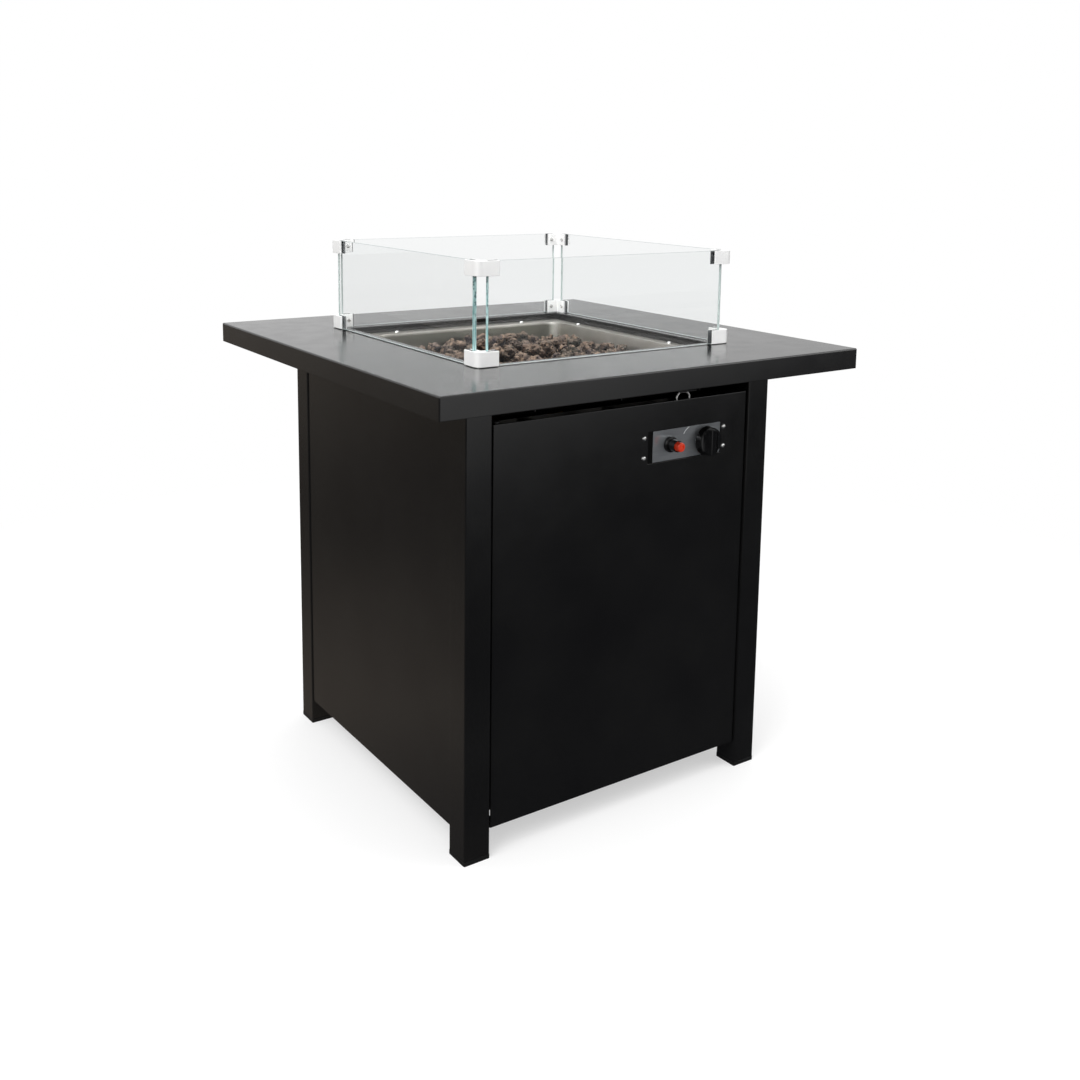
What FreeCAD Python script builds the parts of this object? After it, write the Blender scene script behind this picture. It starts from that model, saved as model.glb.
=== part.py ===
import FreeCAD, Part
import math
import os
import random
import re
import Sketcher
from FreeCAD import Vector

# Square gas fire pit table, in millimetres. The origin is on the floor under the middle of the
# table, +X runs to the right of somebody facing the door, +Y to the back and +Z up.

SIZES = {
    # Table top: one pressed sheet with a folded rim and a square well that ends in a ledge.
    "table_side": 711,
    "table_height": 665,
    "top_sheet": 1.5,
    "rim_depth": 30,
    "rim_return": 12,
    "rim_round": 2,
    "opening_side": 400,
    "opening_round": 1,
    "ledge_drop": 12,
    "ledge_width": 18,
    "stud_radius": 2.5,
    "stud_length": 14,
    "stud_spacing": 240,
    "nut_radius": 4.6,
    "nut_height": 4,
    # Base: four square tube legs with plastic feet and folded panels between them.
    "base_side": 531,
    "leg_width": 40,
    "leg_wall": 1.5,
    "leg_round": 2,
    "foot_height": 6,
    "foot_lip": 0.3,
    "foot_plug": 18,
    "foot_fit": 0.25,
    "ground_gap": 40,
    "panel_sheet": 1.2,
    "panel_recess": 2,
    "panel_flange": 18,
    "panel_gap": 0.3,
    "panel_screw_low": 120,
    "panel_screw_high": 560,
    "vent_count": 5,
    "vent_pitch": 84,
    "vent_length": 60,
    "vent_width": 7,
    "vent_low": 95,
    "vent_high": 600,
    "rail_height": 26,
    "gusset_spacing": 146,
    "gusset_drop": 60,
    "gusset_sheet": 1.5,
    "gusset_flange": 12,
    "gusset_gap": 0.3,
    "shelf_height": 20,
    "shelf_sheet": 1.5,
    "shelf_gap": 0.5,
    "shelf_front": 23,
    "shelf_tongue": 195,
    "ring_radius": 108,
    "ring_wall": 2,
    "ring_height": 22,
    "ring_foot": 14,
    # Screws: M4 pan heads, in clearance holes.
    "screw_radius": 2,
    "screw_fit": 0.15,
    "screw_head_radius": 4,
    "screw_head_height": 2.4,
    "screw_tail": 4,
    # Door: a folded tray on two pins at its left edge.
    "door_recess": 4,
    "door_gap": 3.5,
    "door_gap_right": 1.2,
    "door_drop": 67,
    "door_sheet": 1.2,
    "door_depth": 18,
    "door_round": 1,
    "pin_inset_side": 9,
    "pin_inset_face": 8,
    "pin_radius": 2.5,
    "pin_fit": 0.1,
    "pin_head_radius": 4.5,
    "pin_head_height": 1.6,
    "hinge_sheet": 2,
    "hinge_gap": 0.3,
    "hinge_arm": 4,
    "hinge_reach": 14,
    "hinge_depth": 13,
    "hinge_plate": 26,
    "hinge_notch": 32,
    "hinge_screw_pitch": 12,
    # Door catch: a bent spring wire that presses up on a strike under the front rail.
    "catch_place": 107,
    "catch_width": 24,
    "catch_height": 10,
    "catch_crown": 7,
    "catch_wire": 1.5,
    "catch_fit": 0.3,
    "catch_tail": 7,
    "strike_width": 34,
    "strike_sheet": 1.5,
    "strike_gap": 0.3,
    # Controls: a shallow tray behind a window in the door, with a faceplate almost flush in it.
    "window_left": 37,
    "window_right": 175,
    "window_drop": 108,
    "window_height": 46,
    "control_recess": 2,
    "tray_sheet": 1.2,
    "tray_clear": 1,
    "tray_flange": 14,
    "faceplate_left": 46.5,
    "faceplate_sheet": 1,
    "faceplate_gap": 0.4,
    "control_drop": 132,
    "igniter_drop": 130,
    "control_screw_left": 29,
    "control_screw_right": 179.5,
    "control_screw_drop": 116,
    "control_screw_pitch": 29,
    "igniter_place": 78,
    "igniter_neck": 9,
    "igniter_body_radius": 11.5,
    "igniter_body_length": 46,
    "igniter_fit": 0.15,
    "collar_radius": 11.7,
    "collar_length": 5,
    "collar_neck_radius": 8.6,
    "collar_neck_length": 13,
    "button_radius": 6.8,
    "button_fit": 0.3,
    "button_out": 25,
    "button_travel": 6,
    "button_round": 1,
    "knob_place": 144,
    "knob_radius": 22,
    "knob_skirt": 9,
    "knob_out": 20,
    "knob_press": 4,
    "knob_clear": 0.5,
    "knob_grip_width": 30,
    "knob_grip_crest": 7,
    "knob_round": 1.5,
    "stem_radius": 3,
    "stem_flat": 2.2,
    "stem_out": 10,
    "stem_fit": 0.1,
    "stem_collar": 4.5,
    "valve_width": 42,
    "valve_height": 34,
    "valve_depth": 32,
    "valve_boss": 13,
    "valve_screw_pitch": 28,
    "valve_screw_head": 1,
    "flare_radius": 7.9,
    "flare_length": 14,
    "flare_bore": 4,
    "hex_radius": 10,
    "hex_height": 8,
    # Burner pan: drawn stainless bowl with a flange on the ledge.
    "pan_flange_gap": 1.5,
    "pan_sheet": 1,
    "pan_mouth_gap": 6,
    "pan_depth": 75,
    "pan_taper": 7.5,
    "pan_round": 30,
    "pan_foot_round": 8,
    "pan_screw_spacing": 240,
    "pan_screw_inset": 9,
    "drain_radius": 3,
    "drain_place": 140,
    # Burner: an H of steel tube on a pipe nipple, with an elbow, an air mixer and a jet below.
    "tube_radius": 10,
    "tube_wall": 1.5,
    "tube_spacing": 70,
    "tube_length": 230,
    "tube_lift": 8,
    "port_radius": 1.5,
    "port_pitch": 28,
    "port_count": 7,
    "nipple_radius": 10.6,
    "nipple_wall": 2.4,
    "nipple_fit": 0.15,
    "nipple_drop": 16,
    "locknut_radius": 17,
    "locknut_height": 6,
    "elbow_radius": 15,
    "elbow_height": 32,
    "elbow_reach": 32,
    "mixer_radius": 11,
    "mixer_wall": 2,
    "mixer_length": 58,
    "mixer_insert": 12,
    "mixer_window": 9,
    "jet_nose": 14,
    # Ignition parts beside the burner, under a small folded shield.
    "shield_place": 60,
    "shield_width": 44,
    "shield_depth": 36,
    "shield_height": 36,
    "shield_sheet": 1,
    "electrode_side": 10,
    "electrode_radius": 3.5,
    "electrode_tail": 14,
    "electrode_ceramic": 20,
    "electrode_wire": 1.2,
    "electrode_tip": 32,
    "thermocouple_radius": 3,
    # Lava rocks: loose lumps that rest on the pan, the burner and each other.
    "rock_large": 40,
    "rock_small": 25,
    "rock_count": 230,
    "rock_wall": 4,
    "rock_tries": 24,
    "rock_misses": 24,
    "rock_gap": 0.3,
    "rock_margin": 3,
    "heap_rim_drop": 8,
    "heap_rise": 20,
    # Wind guard: four glass panes in eight corner clamps.
    "guard_margin": 23,
    "guard_height": 140,
    "guard_foot": 1,
    "glass_sheet": 6,
    "glass_top_gap": 0.5,
    "clamp_height": 20,
    "clamp_leg": 34,
    "clamp_wall": 3,
    "clamp_web": 18,
    "clamp_round": 10,
    "clamp_edge_round": 1,
    "pad_clear": 0.05,
    "pad_wall": 0.9,
    "pad_proud": 2.5,
    "pad_short": 1,
    "clamp_screw_place": 27,
    "clamp_screw_radius": 1.6,
    "clamp_screw_head": 3.2,
}

# Places and lengths that follow from the sizes above.
PLACES = {
    "top_half": "table_side / 2",
    "rim_bottom": "table_height - rim_depth",
    "top_underside": "table_height - top_sheet",
    "opening_half": "opening_side / 2",
    "ledge_top": "table_height - ledge_drop",
    "ledge_half": "opening_half - ledge_width",
    "base_half": "base_side / 2",
    "leg_inner": "base_half - leg_width",
    "panel_face": "base_half - panel_recess",
    "panel_rear": "panel_face - panel_flange",
    "panel_half": "leg_inner - panel_gap",
    "flange_middle": "panel_face - panel_flange / 2",
    "rail_bottom": "top_underside - rail_height",
    "rail_screw": "top_underside - rail_height / 2",
    "pin_x": "-(leg_inner - door_gap) + pin_inset_side",
    "pin_y": "-base_half + door_recess + pin_inset_face",
    "hinge_front": "pin_y + hinge_reach",
    "hinge_rear": "pin_y + hinge_reach + hinge_depth",
    "shelf_bottom": "ground_gap + panel_sheet",
    "shelf_top": "shelf_bottom + shelf_height",
    "shelf_rear": "panel_half - panel_sheet - shelf_gap",
    "shelf_ear": "max(hinge_rear + 2 * shelf_gap; -shelf_rear)",
    "door_face": "-base_half + door_recess",
    "door_rear": "door_face + door_depth",
    "door_half": "leg_inner - door_gap",
    "door_right": "leg_inner - door_gap_right",
    "door_top": "table_height - door_drop",
    "hinge_high": "door_top - door_sheet - hinge_gap - hinge_sheet",
    "hinge_low": "ground_gap + door_sheet + hinge_gap",
    "catch_middle": "door_face + door_depth / 2",
    "strike_low": "door_top + catch_height + strike_gap",
    "window_top": "table_height - window_drop",
    "window_bottom": "window_top - window_height",
    "tray_face": "door_face + control_recess",
    "tray_rear": "tray_face + tray_sheet",
    "plate_face": "tray_face - faceplate_sheet",
    "control_z": "table_height - control_drop",
    "igniter_z": "table_height - igniter_drop",
    "knob_rear": "plate_face - knob_press - valve_screw_head - knob_clear",
    "stem_tip": "door_face - stem_out",
    "pan_mouth": "ledge_half - pan_mouth_gap",
    "pan_floor": "ledge_top - pan_depth",
    "pan_under": "pan_floor - pan_sheet",
    "tube_z": "pan_floor + tube_lift + tube_radius",
    "nut_bottom": "pan_under - locknut_height",
    "elbow_bottom": "nut_bottom - elbow_height",
    "mixer_z": "elbow_bottom + elbow_radius",
    "mixer_end": "-elbow_reach + mixer_insert - mixer_length",
    "guard_half": "opening_half + guard_margin",
    "guard_low": "table_height + guard_foot",
    "guard_top": "table_height + guard_height",
    "clamp_depth": "glass_sheet + 2 * (clamp_wall + pad_wall + 2 * pad_clear)",
    "glass_half": "guard_half - clamp_web - pad_wall - 2 * pad_clear",
    "glass_outer": "guard_half - clamp_wall - pad_wall - 2 * pad_clear",
}

ALIAS = re.compile(r"[a-z][a-z_]*[a-z]")
NORMAL_SIGN = {"XY_Plane": 1, "XZ_Plane": -1, "YZ_Plane": 1}
CORNERS = {
    "front_left": (-1, -1),
    "front_right": (1, -1),
    "rear_left": (-1, 1),
    "rear_right": (1, 1),
}

doc = FreeCAD.newDocument("fire_pit_table")


def owned(text):
    """The expression with each alias written after the name of the sheet that holds it."""
    def owner(match):
        word = match.group(0)
        if word in SIZES:
            return "sizes." + word
        return "places." + word if word in PLACES else word
    return ALIAS.sub(owner, text)


def fill_sheet(name, cells):
    sheet = doc.addObject("Spreadsheet::Sheet", name)
    for row, (alias, content) in enumerate(cells.items(), 1):
        sheet.set(f"A{row}", alias)
        sheet.set(f"B{row}", str(content))
        sheet.setAlias(f"B{row}", alias)
    doc.recompute()
    return sheet


sizes = fill_sheet("sizes", SIZES)
places = fill_sheet("places", {name: "=" + owned(text) for name, text in PLACES.items()})


def value(alias):
    """A size or a place as a number."""
    return float((sizes if alias in SIZES else places).get(alias))


def signed(sign, text):
    return f"({text})" if sign > 0 else f"-({text})"


# Sketch and feature helpers. Every pad and pocket runs from a low coordinate in the + direction.

def new_body(label):
    body = doc.addObject("PartDesign::Body", label)
    body.Label = label
    return body


def new_sketch(body, plane, at):
    sketch = body.newObject("Sketcher::SketchObject", "Sketch")
    origin_planes = [item for item in body.Origin.OriginFeatures if item.Role == plane]
    sketch.AttachmentSupport = [(origin_planes[0], "")]
    sketch.MapMode = "FlatFace"
    sign = "" if NORMAL_SIGN[plane] > 0 else "-"
    sketch.setExpression("AttachmentOffset.Base.z", owned(f"{sign}({at})"))
    return sketch


def place_point(sketch, geometry, position, point):
    drawn = sketch.getPoint(geometry, position)
    for kind, length, text in zip(("DistanceX", "DistanceY"), (drawn.x, drawn.y), point):
        index = sketch.addConstraint(Sketcher.Constraint(kind, -1, 1, geometry, position, length))
        sketch.setExpression(f"Constraints[{index}]", owned(text))


def draw_polygon(sketch, points):
    """A closed outline of straight lines through the points, each a pair of expressions."""
    first = sketch.GeometryCount
    count = len(points)
    for index in range(count):
        start = Vector(10 * index, index * index, 0)
        following = (index + 1) % count
        end = Vector(10 * following, following * following, 0)
        sketch.addGeometry(Part.LineSegment(start, end), False)
    for index in range(count):
        following = first + (index + 1) % count
        sketch.addConstraint(Sketcher.Constraint("Coincident", first + index, 2, following, 1))
        place_point(sketch, first + index, 1, points[index])


def draw_circle(sketch, centre, radius):
    circle = Part.Circle(Vector(1, 1, 0), Vector(0, 0, 1), 2)
    geometry = sketch.addGeometry(circle, False)
    place_point(sketch, geometry, 3, centre)
    index = sketch.addConstraint(Sketcher.Constraint("Radius", geometry, 2.0))
    sketch.setExpression(f"Constraints[{index}]", owned(radius))


def draw_rounded_square(sketch, half, radius, first_half, first_radius):
    """A centred square with round corners; the two numbers only place it before it is solved."""
    start = sketch.GeometryCount
    inner = first_half - first_radius
    for quarter in range(4):
        turn = FreeCAD.Rotation(Vector(0, 0, 1), 90 * quarter)
        line = Part.LineSegment(
            turn.multVec(Vector(first_half, -inner, 0)), turn.multVec(Vector(first_half, inner, 0)),
        )
        sketch.addGeometry(line, False)
        arc = Part.ArcOfCircle(
            Part.Circle(turn.multVec(Vector(inner, inner, 0)), Vector(0, 0, 1), first_radius),
            math.radians(90 * quarter), math.radians(90 * quarter + 90),
        )
        sketch.addGeometry(arc, False)
    side, short = f"({half})", f"({half} - ({radius}))"
    ends = [
        (side, f"-{short}"), (side, short), (short, side), (f"-{short}", side),
        (f"-{side}", short), (f"-{side}", f"-{short}"), (f"-{short}", f"-{side}"), (short, f"-{side}"),
    ]
    for quarter in range(4):
        line, arc = start + 2 * quarter, start + 2 * quarter + 1
        following = start + (2 * quarter + 2) % 8
        place_point(sketch, line, 1, ends[2 * quarter])
        place_point(sketch, line, 2, ends[2 * quarter + 1])
        sketch.addConstraint(Sketcher.Constraint("Coincident", line, 2, arc, 1))
        sketch.addConstraint(Sketcher.Constraint("Coincident", arc, 2, following, 1))
        index = sketch.addConstraint(Sketcher.Constraint("Radius", arc, first_radius))
        sketch.setExpression(f"Constraints[{index}]", owned(radius))


def draw(sketch, outlines):
    """Draws circles, given as (centre, radius), and polygons, given as lists of points."""
    for outline in outlines:
        if isinstance(outline, tuple):
            draw_circle(sketch, *outline)
        else:
            draw_polygon(sketch, outline)


def extrude(kind, body, plane, low, length, outlines):
    sketch = new_sketch(body, plane, low)
    draw(sketch, outlines)
    feature = body.newObject("PartDesign::" + kind, kind)
    feature.Profile = sketch
    feature.setExpression("Length", owned(length))
    along = NORMAL_SIGN[plane] > 0
    feature.Reversed = along if kind == "Pocket" else not along
    return feature


def pad(body, plane, low, length, *outlines):
    return extrude("Pad", body, plane, low, length, outlines)


def pocket(body, plane, low, length, *outlines):
    return extrude("Pocket", body, plane, low, length, outlines)


def dress_edges(kind, size_name, body, base, size, chosen):
    doc.recompute()
    names = [f"Edge{i}" for i, edge in enumerate(base.Shape.Edges, 1) if chosen(edge)]
    feature = body.newObject("PartDesign::" + kind, kind)
    feature.Base = (base, names)
    feature.setExpression(size_name, owned(size))
    return feature


def round_edges(body, base, radius, chosen):
    """Fillets the edges of the base feature that the test chooses."""
    return dress_edges("Fillet", "Radius", body, base, radius, chosen)


def bevel_edges(body, base, size, chosen):
    """Chamfers the edges of the base feature that the test chooses."""
    return dress_edges("Chamfer", "Size", body, base, size, chosen)


def rectangle(left, low, right, high):
    return [(left, low), (right, low), (right, high), (left, high)]


def square(half):
    return rectangle(f"-({half})", f"-({half})", half, half)


def hexagon(across, up, radius):
    steps = [f"{60 * corner} deg" for corner in range(6)]
    return [(f"({across}) + {radius} * cos({a})", f"({up}) + {radius} * sin({a})") for a in steps]


def regular(centre, radius, sides):
    """An outline of equal straight sides that touch a circle of the given radius."""
    across, up = centre
    reach = f"({radius}) / cos({180 / sides} deg)"
    turns = [f"{360 * (side + 0.5) / sides} deg" for side in range(sides)]
    return [(f"({across}) + {reach} * cos({a})", f"({up}) + {reach} * sin({a})") for a in turns]


def is_upright(edge):
    box = edge.BoundBox
    return box.ZLength > max(box.XLength, box.YLength)


def near(first, second):
    return abs(first - second) < 0.01


def level_ring(radius, sides, height):
    """A closed line of equal straight sides round the Z axis, at the given height."""
    corners = []
    for side in range(sides + 1):
        angle = 2 * math.pi * (side % sides) / sides
        corners.append(Vector(radius * math.cos(angle), radius * math.sin(angle), height))
    return Part.makePolygon(corners)


def screw_shape(head, head_height, shank, length):
    """A button-head screw: its head's seat is at the origin and its shank points along -Z.

    It has few straight sides, because the model holds many screws.
    """
    button = Part.makeLoft([
        level_ring(head, 10, 0),
        level_ring(head, 10, head_height * 0.4),
        level_ring(head * 0.7, 10, head_height),
    ], True, True)
    pin = Part.makeLoft([level_ring(shank, 6, -length), level_ring(shank, 6, 0)], True, True)
    return button.fuse(pin)


def screw_group(label, screw, seats):
    """One sub-part of equal screws: each seat is a point and the way the head faces."""
    copies = []
    for point, outward in seats:
        copy = screw.copy()
        turn = FreeCAD.Rotation(Vector(0, 0, 1), Vector(*outward))
        copy.Placement = FreeCAD.Placement(Vector(*point), turn)
        copies.append(copy)
    return add_shape(label, Part.makeCompound(copies))


def add_shape(label, shape):
    feature = doc.addObject("Part::Feature", label)
    feature.Label = label
    feature.Shape = shape
    feature.Placement = FreeCAD.Placement()
    return feature


def standard_screw(grip):
    """The M4 screw of the cabinet, through a stack of sheets of the given thickness."""
    return screw_shape(
        value("screw_head_radius"),
        value("screw_head_height"),
        value("screw_radius"),
        grip + value("screw_tail"),
    )


def screw_hole(point):
    """The clearance hole of an M4 screw, with straight sides like the screw's own."""
    return regular(point, "screw_radius + screw_fit", 8)


# Table top ------------------------------------------------------------------------------------

def stud_points():
    """Weld studs: two over each panel's top flange and two over the front rail's."""
    points = []
    for side in (-1, 1):
        along = signed(side, "stud_spacing / 2")
        for sign in (-1, 1):
            across = signed(sign, "flange_middle")
            points += [(along, across), (across, along)]
    return points


def pan_screw_points():
    """Screws of the pan's flange: two along each side of the opening."""
    points = []
    for side in (-1, 1):
        along = signed(side, "pan_screw_spacing / 2")
        for sign in (-1, 1):
            across = signed(sign, "opening_half - pan_screw_inset")
            points += [(along, across), (across, along)]
    return points


def table_top():
    body = new_body("table_top")
    slab = pad(body, "XY_Plane", "rim_bottom", "rim_depth", square("top_half"))
    doc.recompute()
    height = value("table_height")
    outer = round_edges(
        body, slab, "rim_round",
        lambda edge: is_upright(edge) or near(edge.BoundBox.ZMin, height),
    )
    pocket(body, "XY_Plane", "rim_bottom", "rim_depth - top_sheet", square("top_half - top_sheet"))
    pad(
        body, "XY_Plane", "rim_bottom", "top_sheet",
        square("top_half - top_sheet / 2"), square("top_half - rim_return"),
    )
    pad(
        body, "XY_Plane", "ledge_top - top_sheet", "ledge_drop + top_sheet / 2",
        square("opening_half + top_sheet"), square("opening_half"),
    )
    pad(
        body, "XY_Plane", "ledge_top - top_sheet", "top_sheet",
        square("opening_half + top_sheet / 2"), square("ledge_half"),
    )
    hollow = pocket(body, "XY_Plane", "ledge_top", "ledge_drop", square("opening_half"))
    doc.recompute()
    opening = value("opening_half")
    bevel_edges(
        body, hollow, "opening_round",
        lambda edge: near(edge.BoundBox.ZMin, height)
        and max(abs(edge.BoundBox.XMax), abs(edge.BoundBox.YMax)) < opening + 1,
    )
    pocket(
        body, "XY_Plane", "ledge_top - top_sheet", "top_sheet",
        *[screw_hole(point) for point in pan_screw_points()],
    )
    pad(
        body, "XY_Plane", "top_underside - stud_length", "stud_length + top_sheet / 2",
        *[regular(point, "stud_radius", 8) for point in stud_points()],
    )
    return outer


def top_nuts():
    body = new_body("top_nuts")
    outlines = []
    for point in stud_points():
        outlines.append(hexagon(*point, "nut_radius"))
        outlines.append(regular(point, "stud_radius + pin_fit", 8))
    pad(body, "XY_Plane", "top_underside - panel_sheet - nut_height", "nut_height", *outlines)


def top_gussets():
    """Folded stiffeners under the top, three in front of the well and three behind it."""
    body = new_body("top_gussets")
    outlines = []
    for place in (-1, 0, 1):
        web = f"{place} * gusset_spacing - gusset_sheet / 2"
        outlines.append([
            (web, "top_underside"),
            (web, "top_underside - gusset_drop"),
            (f"{web} + gusset_sheet", "top_underside - gusset_drop"),
            (f"{web} + gusset_sheet", "top_underside - gusset_sheet"),
            (f"{web} + gusset_flange", "top_underside - gusset_sheet"),
            (f"{web} + gusset_flange", "top_underside"),
        ])
    start = "opening_half + top_sheet + gusset_gap"
    length = "panel_rear - opening_half - top_sheet - 2 * gusset_gap"
    pad(body, "XZ_Plane", "-panel_rear + gusset_gap", length, *outlines)
    pad(body, "XZ_Plane", start, length, *outlines)


# Legs, feet and panels ------------------------------------------------------------------------

def leg_screw_seats():
    """Every screw that goes through a panel's or the front rail's flange into a leg.

    Each seat is the axis, its two other coordinates, the side of the cabinet that its leg stands
    on along the axis, and the side that it stands on across it.
    """
    seats = []
    for height in ("panel_screw_low", "panel_screw_high"):
        for side in (-1, 1):
            seats.append(("Y", side, -1, height))
            seats.append(("Y", side, 1, height))
            seats.append(("X", 1, side, height))
    seats.append(("X", -1, -1, "rail_screw"))
    seats.append(("X", -1, 1, "rail_screw"))
    return seats


def leg(label, side_x, side_y):
    body = new_body(label)
    x_outer, x_inner = signed(side_x, "base_half"), signed(side_x, "leg_inner")
    y_outer, y_inner = signed(side_y, "base_half"), signed(side_y, "leg_inner")
    length = "top_underside - foot_height"
    bar = pad(body, "XY_Plane", "foot_height", length, rectangle(x_outer, y_outer, x_inner, y_inner))
    round_edges(body, bar, "leg_round", is_upright)
    x_wall, y_wall = signed(side_x, "leg_wall"), signed(side_y, "leg_wall")
    hollow = rectangle(
        f"{x_outer} - {x_wall}", f"{y_outer} - {y_wall}",
        f"{x_inner} + {x_wall}", f"{y_inner} + {y_wall}",
    )
    pocket(body, "XY_Plane", "foot_height", length, hollow)
    for axis, across, along, height in leg_screw_seats():
        if axis == "Y" and (across, along) == (side_x, side_y):
            low = "leg_inner" if side_y > 0 else "-leg_inner - leg_wall"
            hole = screw_hole((signed(side_x, "flange_middle"), height))
            pocket(body, "XZ_Plane", low, "leg_wall", hole)
        if axis == "X" and (across, along) == (side_y, side_x):
            low = "leg_inner" if side_x > 0 else "-leg_inner - leg_wall"
            hole = screw_hole((signed(side_y, "flange_middle"), height))
            pocket(body, "YZ_Plane", low, "leg_wall", hole)
    if label == "leg_front_left":
        holes = [screw_hole(point) for point in hinge_screw_points()]
        pocket(body, "YZ_Plane", "-leg_inner - leg_wall", "leg_wall", *holes)


def foot_caps():
    body = new_body("foot_caps")
    plates = []
    plugs = []
    for side_x, side_y in CORNERS.values():
        near_x, far_x = (signed(side_x, part) for part in ("leg_inner - foot_lip", "base_half + foot_lip"))
        near_y, far_y = (signed(side_y, part) for part in ("leg_inner - foot_lip", "base_half + foot_lip"))
        plates.append(rectangle(near_x, near_y, far_x, far_y))
        inner, outer = "leg_inner + leg_wall + foot_fit", "base_half - leg_wall - foot_fit"
        plugs.append(rectangle(
            signed(side_x, inner), signed(side_y, inner), signed(side_x, outer), signed(side_y, outer),
        ))
    plate = pad(body, "XY_Plane", "0", "foot_height", *plates)
    round_edges(body, plate, "leg_round", is_upright)
    pad(body, "XY_Plane", "foot_height", "foot_plug", *plugs)


def folded_tray(label, plane, outline, face, inward, depth, sheet, roundness=None):
    """A sheet face with flanges folded back from its four edges.

    face is the coordinate of the outer surface, and inward the sign of the way the flanges go.
    """
    left, low, right, high = outline
    body = new_body(label)
    start = face if inward > 0 else f"{face} - {depth}"
    block = pad(body, plane, start, depth, rectangle(left, low, right, high))
    if roundness:
        doc.recompute()
        box = block.Shape.BoundBox
        edge_at = box.YMin if plane == "XZ_Plane" else box.XMin
        round_edges(
            body, block, roundness,
            lambda edge: near((edge.BoundBox.YMax if plane == "XZ_Plane" else edge.BoundBox.XMax), edge_at),
        )
    start = f"{face} + {sheet}" if inward > 0 else f"{face} - {depth}"
    inner = rectangle(
        f"{left} + {sheet}", f"{low} + {sheet}", f"{right} - {sheet}", f"{high} - {sheet}",
    )
    pocket(body, plane, start, f"{depth} - {sheet}", inner)
    return body


PANEL_OUTLINE = ("-panel_half", "ground_gap", "panel_half", "top_underside")


def drill_top_flange(body, points):
    holes = [regular(point, "stud_radius + 2 * screw_fit", 8) for point in points]
    pocket(body, "XY_Plane", "top_underside - panel_sheet", "panel_sheet", *holes)


def side_panel(label, side):
    inward = -side
    face = signed(side, "panel_face")
    body = folded_tray(
        label, "YZ_Plane", PANEL_OUTLINE, face, inward, "panel_flange", "panel_sheet",
    )
    across = signed(side, "flange_middle")
    drill_top_flange(body, [(across, "-stud_spacing / 2"), (across, "stud_spacing / 2")])
    holes = [screw_hole((across, height)) for height in ("panel_screw_low", "panel_screw_high")]
    pocket(body, "XZ_Plane", "-panel_half", "2 * panel_half", *holes)


def panel_back():
    body = folded_tray(
        "panel_back", "XZ_Plane", PANEL_OUTLINE, "panel_face", -1, "panel_flange", "panel_sheet",
    )
    drill_top_flange(body, [
        ("-stud_spacing / 2", "flange_middle"), ("stud_spacing / 2", "flange_middle"),
    ])
    holes = [screw_hole(("flange_middle", height)) for height in ("panel_screw_low", "panel_screw_high")]
    pocket(body, "YZ_Plane", "-panel_half", "2 * panel_half", *holes)
    count = int(value("vent_count"))
    slots = []
    for height in ("vent_low", "vent_high"):
        for step in range(count):
            middle = f"({step} - (vent_count - 1) / 2) * vent_pitch"
            slots.append(rectangle(
                f"{middle} - vent_length / 2", f"{height} - vent_width / 2",
                f"{middle} + vent_length / 2", f"{height} + vent_width / 2",
            ))
    pocket(body, "XZ_Plane", "panel_face - panel_sheet", "panel_sheet", *slots)


def front_rail():
    outline = ("-panel_half", "rail_bottom", "panel_half", "top_underside")
    body = folded_tray(
        "front_rail", "XZ_Plane", outline, "-panel_face", 1, "panel_flange", "panel_sheet",
    )
    drill_top_flange(body, [
        ("-stud_spacing / 2", "-flange_middle"), ("stud_spacing / 2", "-flange_middle"),
    ])
    hole = screw_hole(("-flange_middle", "rail_screw"))
    pocket(body, "YZ_Plane", "-panel_half", "2 * panel_half", hole)


def panel_screws():
    """Screws from inside the panels' flanges into the legs, heads towards the cabinet's middle."""
    seat = value("panel_half") - value("panel_sheet")
    middle = value("flange_middle")
    seats = []
    for axis, across, along, height in leg_screw_seats():
        z = value(height)
        if axis == "Y":
            seats.append(((across * middle, along * seat, z), (0, -along, 0)))
        else:
            seats.append(((along * seat, across * middle, z), (-along, 0, 0)))
    grip = value("panel_sheet") + value("panel_gap") + value("leg_wall")
    screw_group("panel_screws", standard_screw(grip), seats)


# Shelf and bottle ring ------------------------------------------------------------------------

def shelf_outline(inset):
    """The shelf's plan: square between the panels, notched round the legs, less an inset."""
    side = f"(panel_face - panel_sheet - shelf_gap - {inset})"
    tongue = f"(shelf_tongue - {inset})"
    front = f"-(panel_face - shelf_front - {inset})"
    ear = f"(shelf_ear + {inset})"
    rear = f"(shelf_rear - {inset})"
    return [
        (f"-{tongue}", front), (tongue, front), (tongue, ear), (side, ear),
        (side, rear), (tongue, rear), (tongue, side), (f"-{tongue}", side),
        (f"-{tongue}", rear), (f"-{side}", rear), (f"-{side}", ear), (f"-{tongue}", ear),
    ]


def base_shelf():
    """A folded tray, open below, whose flanges stand on the panels' bottom flanges."""
    body = new_body("base_shelf")
    pad(body, "XY_Plane", "shelf_bottom", "shelf_height", shelf_outline("0"))
    pocket(
        body, "XY_Plane", "shelf_bottom", "shelf_height - shelf_sheet", shelf_outline("shelf_sheet"),
    )


def tank_ring():
    """A rolled ring with a turned-out foot, which locates the gas bottle's own foot ring."""
    body = new_body("tank_ring")
    centre = ("0", "0")
    pad(
        body, "XY_Plane", "shelf_top", "shelf_sheet",
        (centre, "ring_radius + ring_wall + ring_foot"), (centre, "ring_radius"),
    )
    pad(
        body, "XY_Plane", "shelf_top", "ring_height",
        (centre, "ring_radius + ring_wall"), (centre, "ring_radius"),
    )


# Door and its hinge ---------------------------------------------------------------------------

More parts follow.
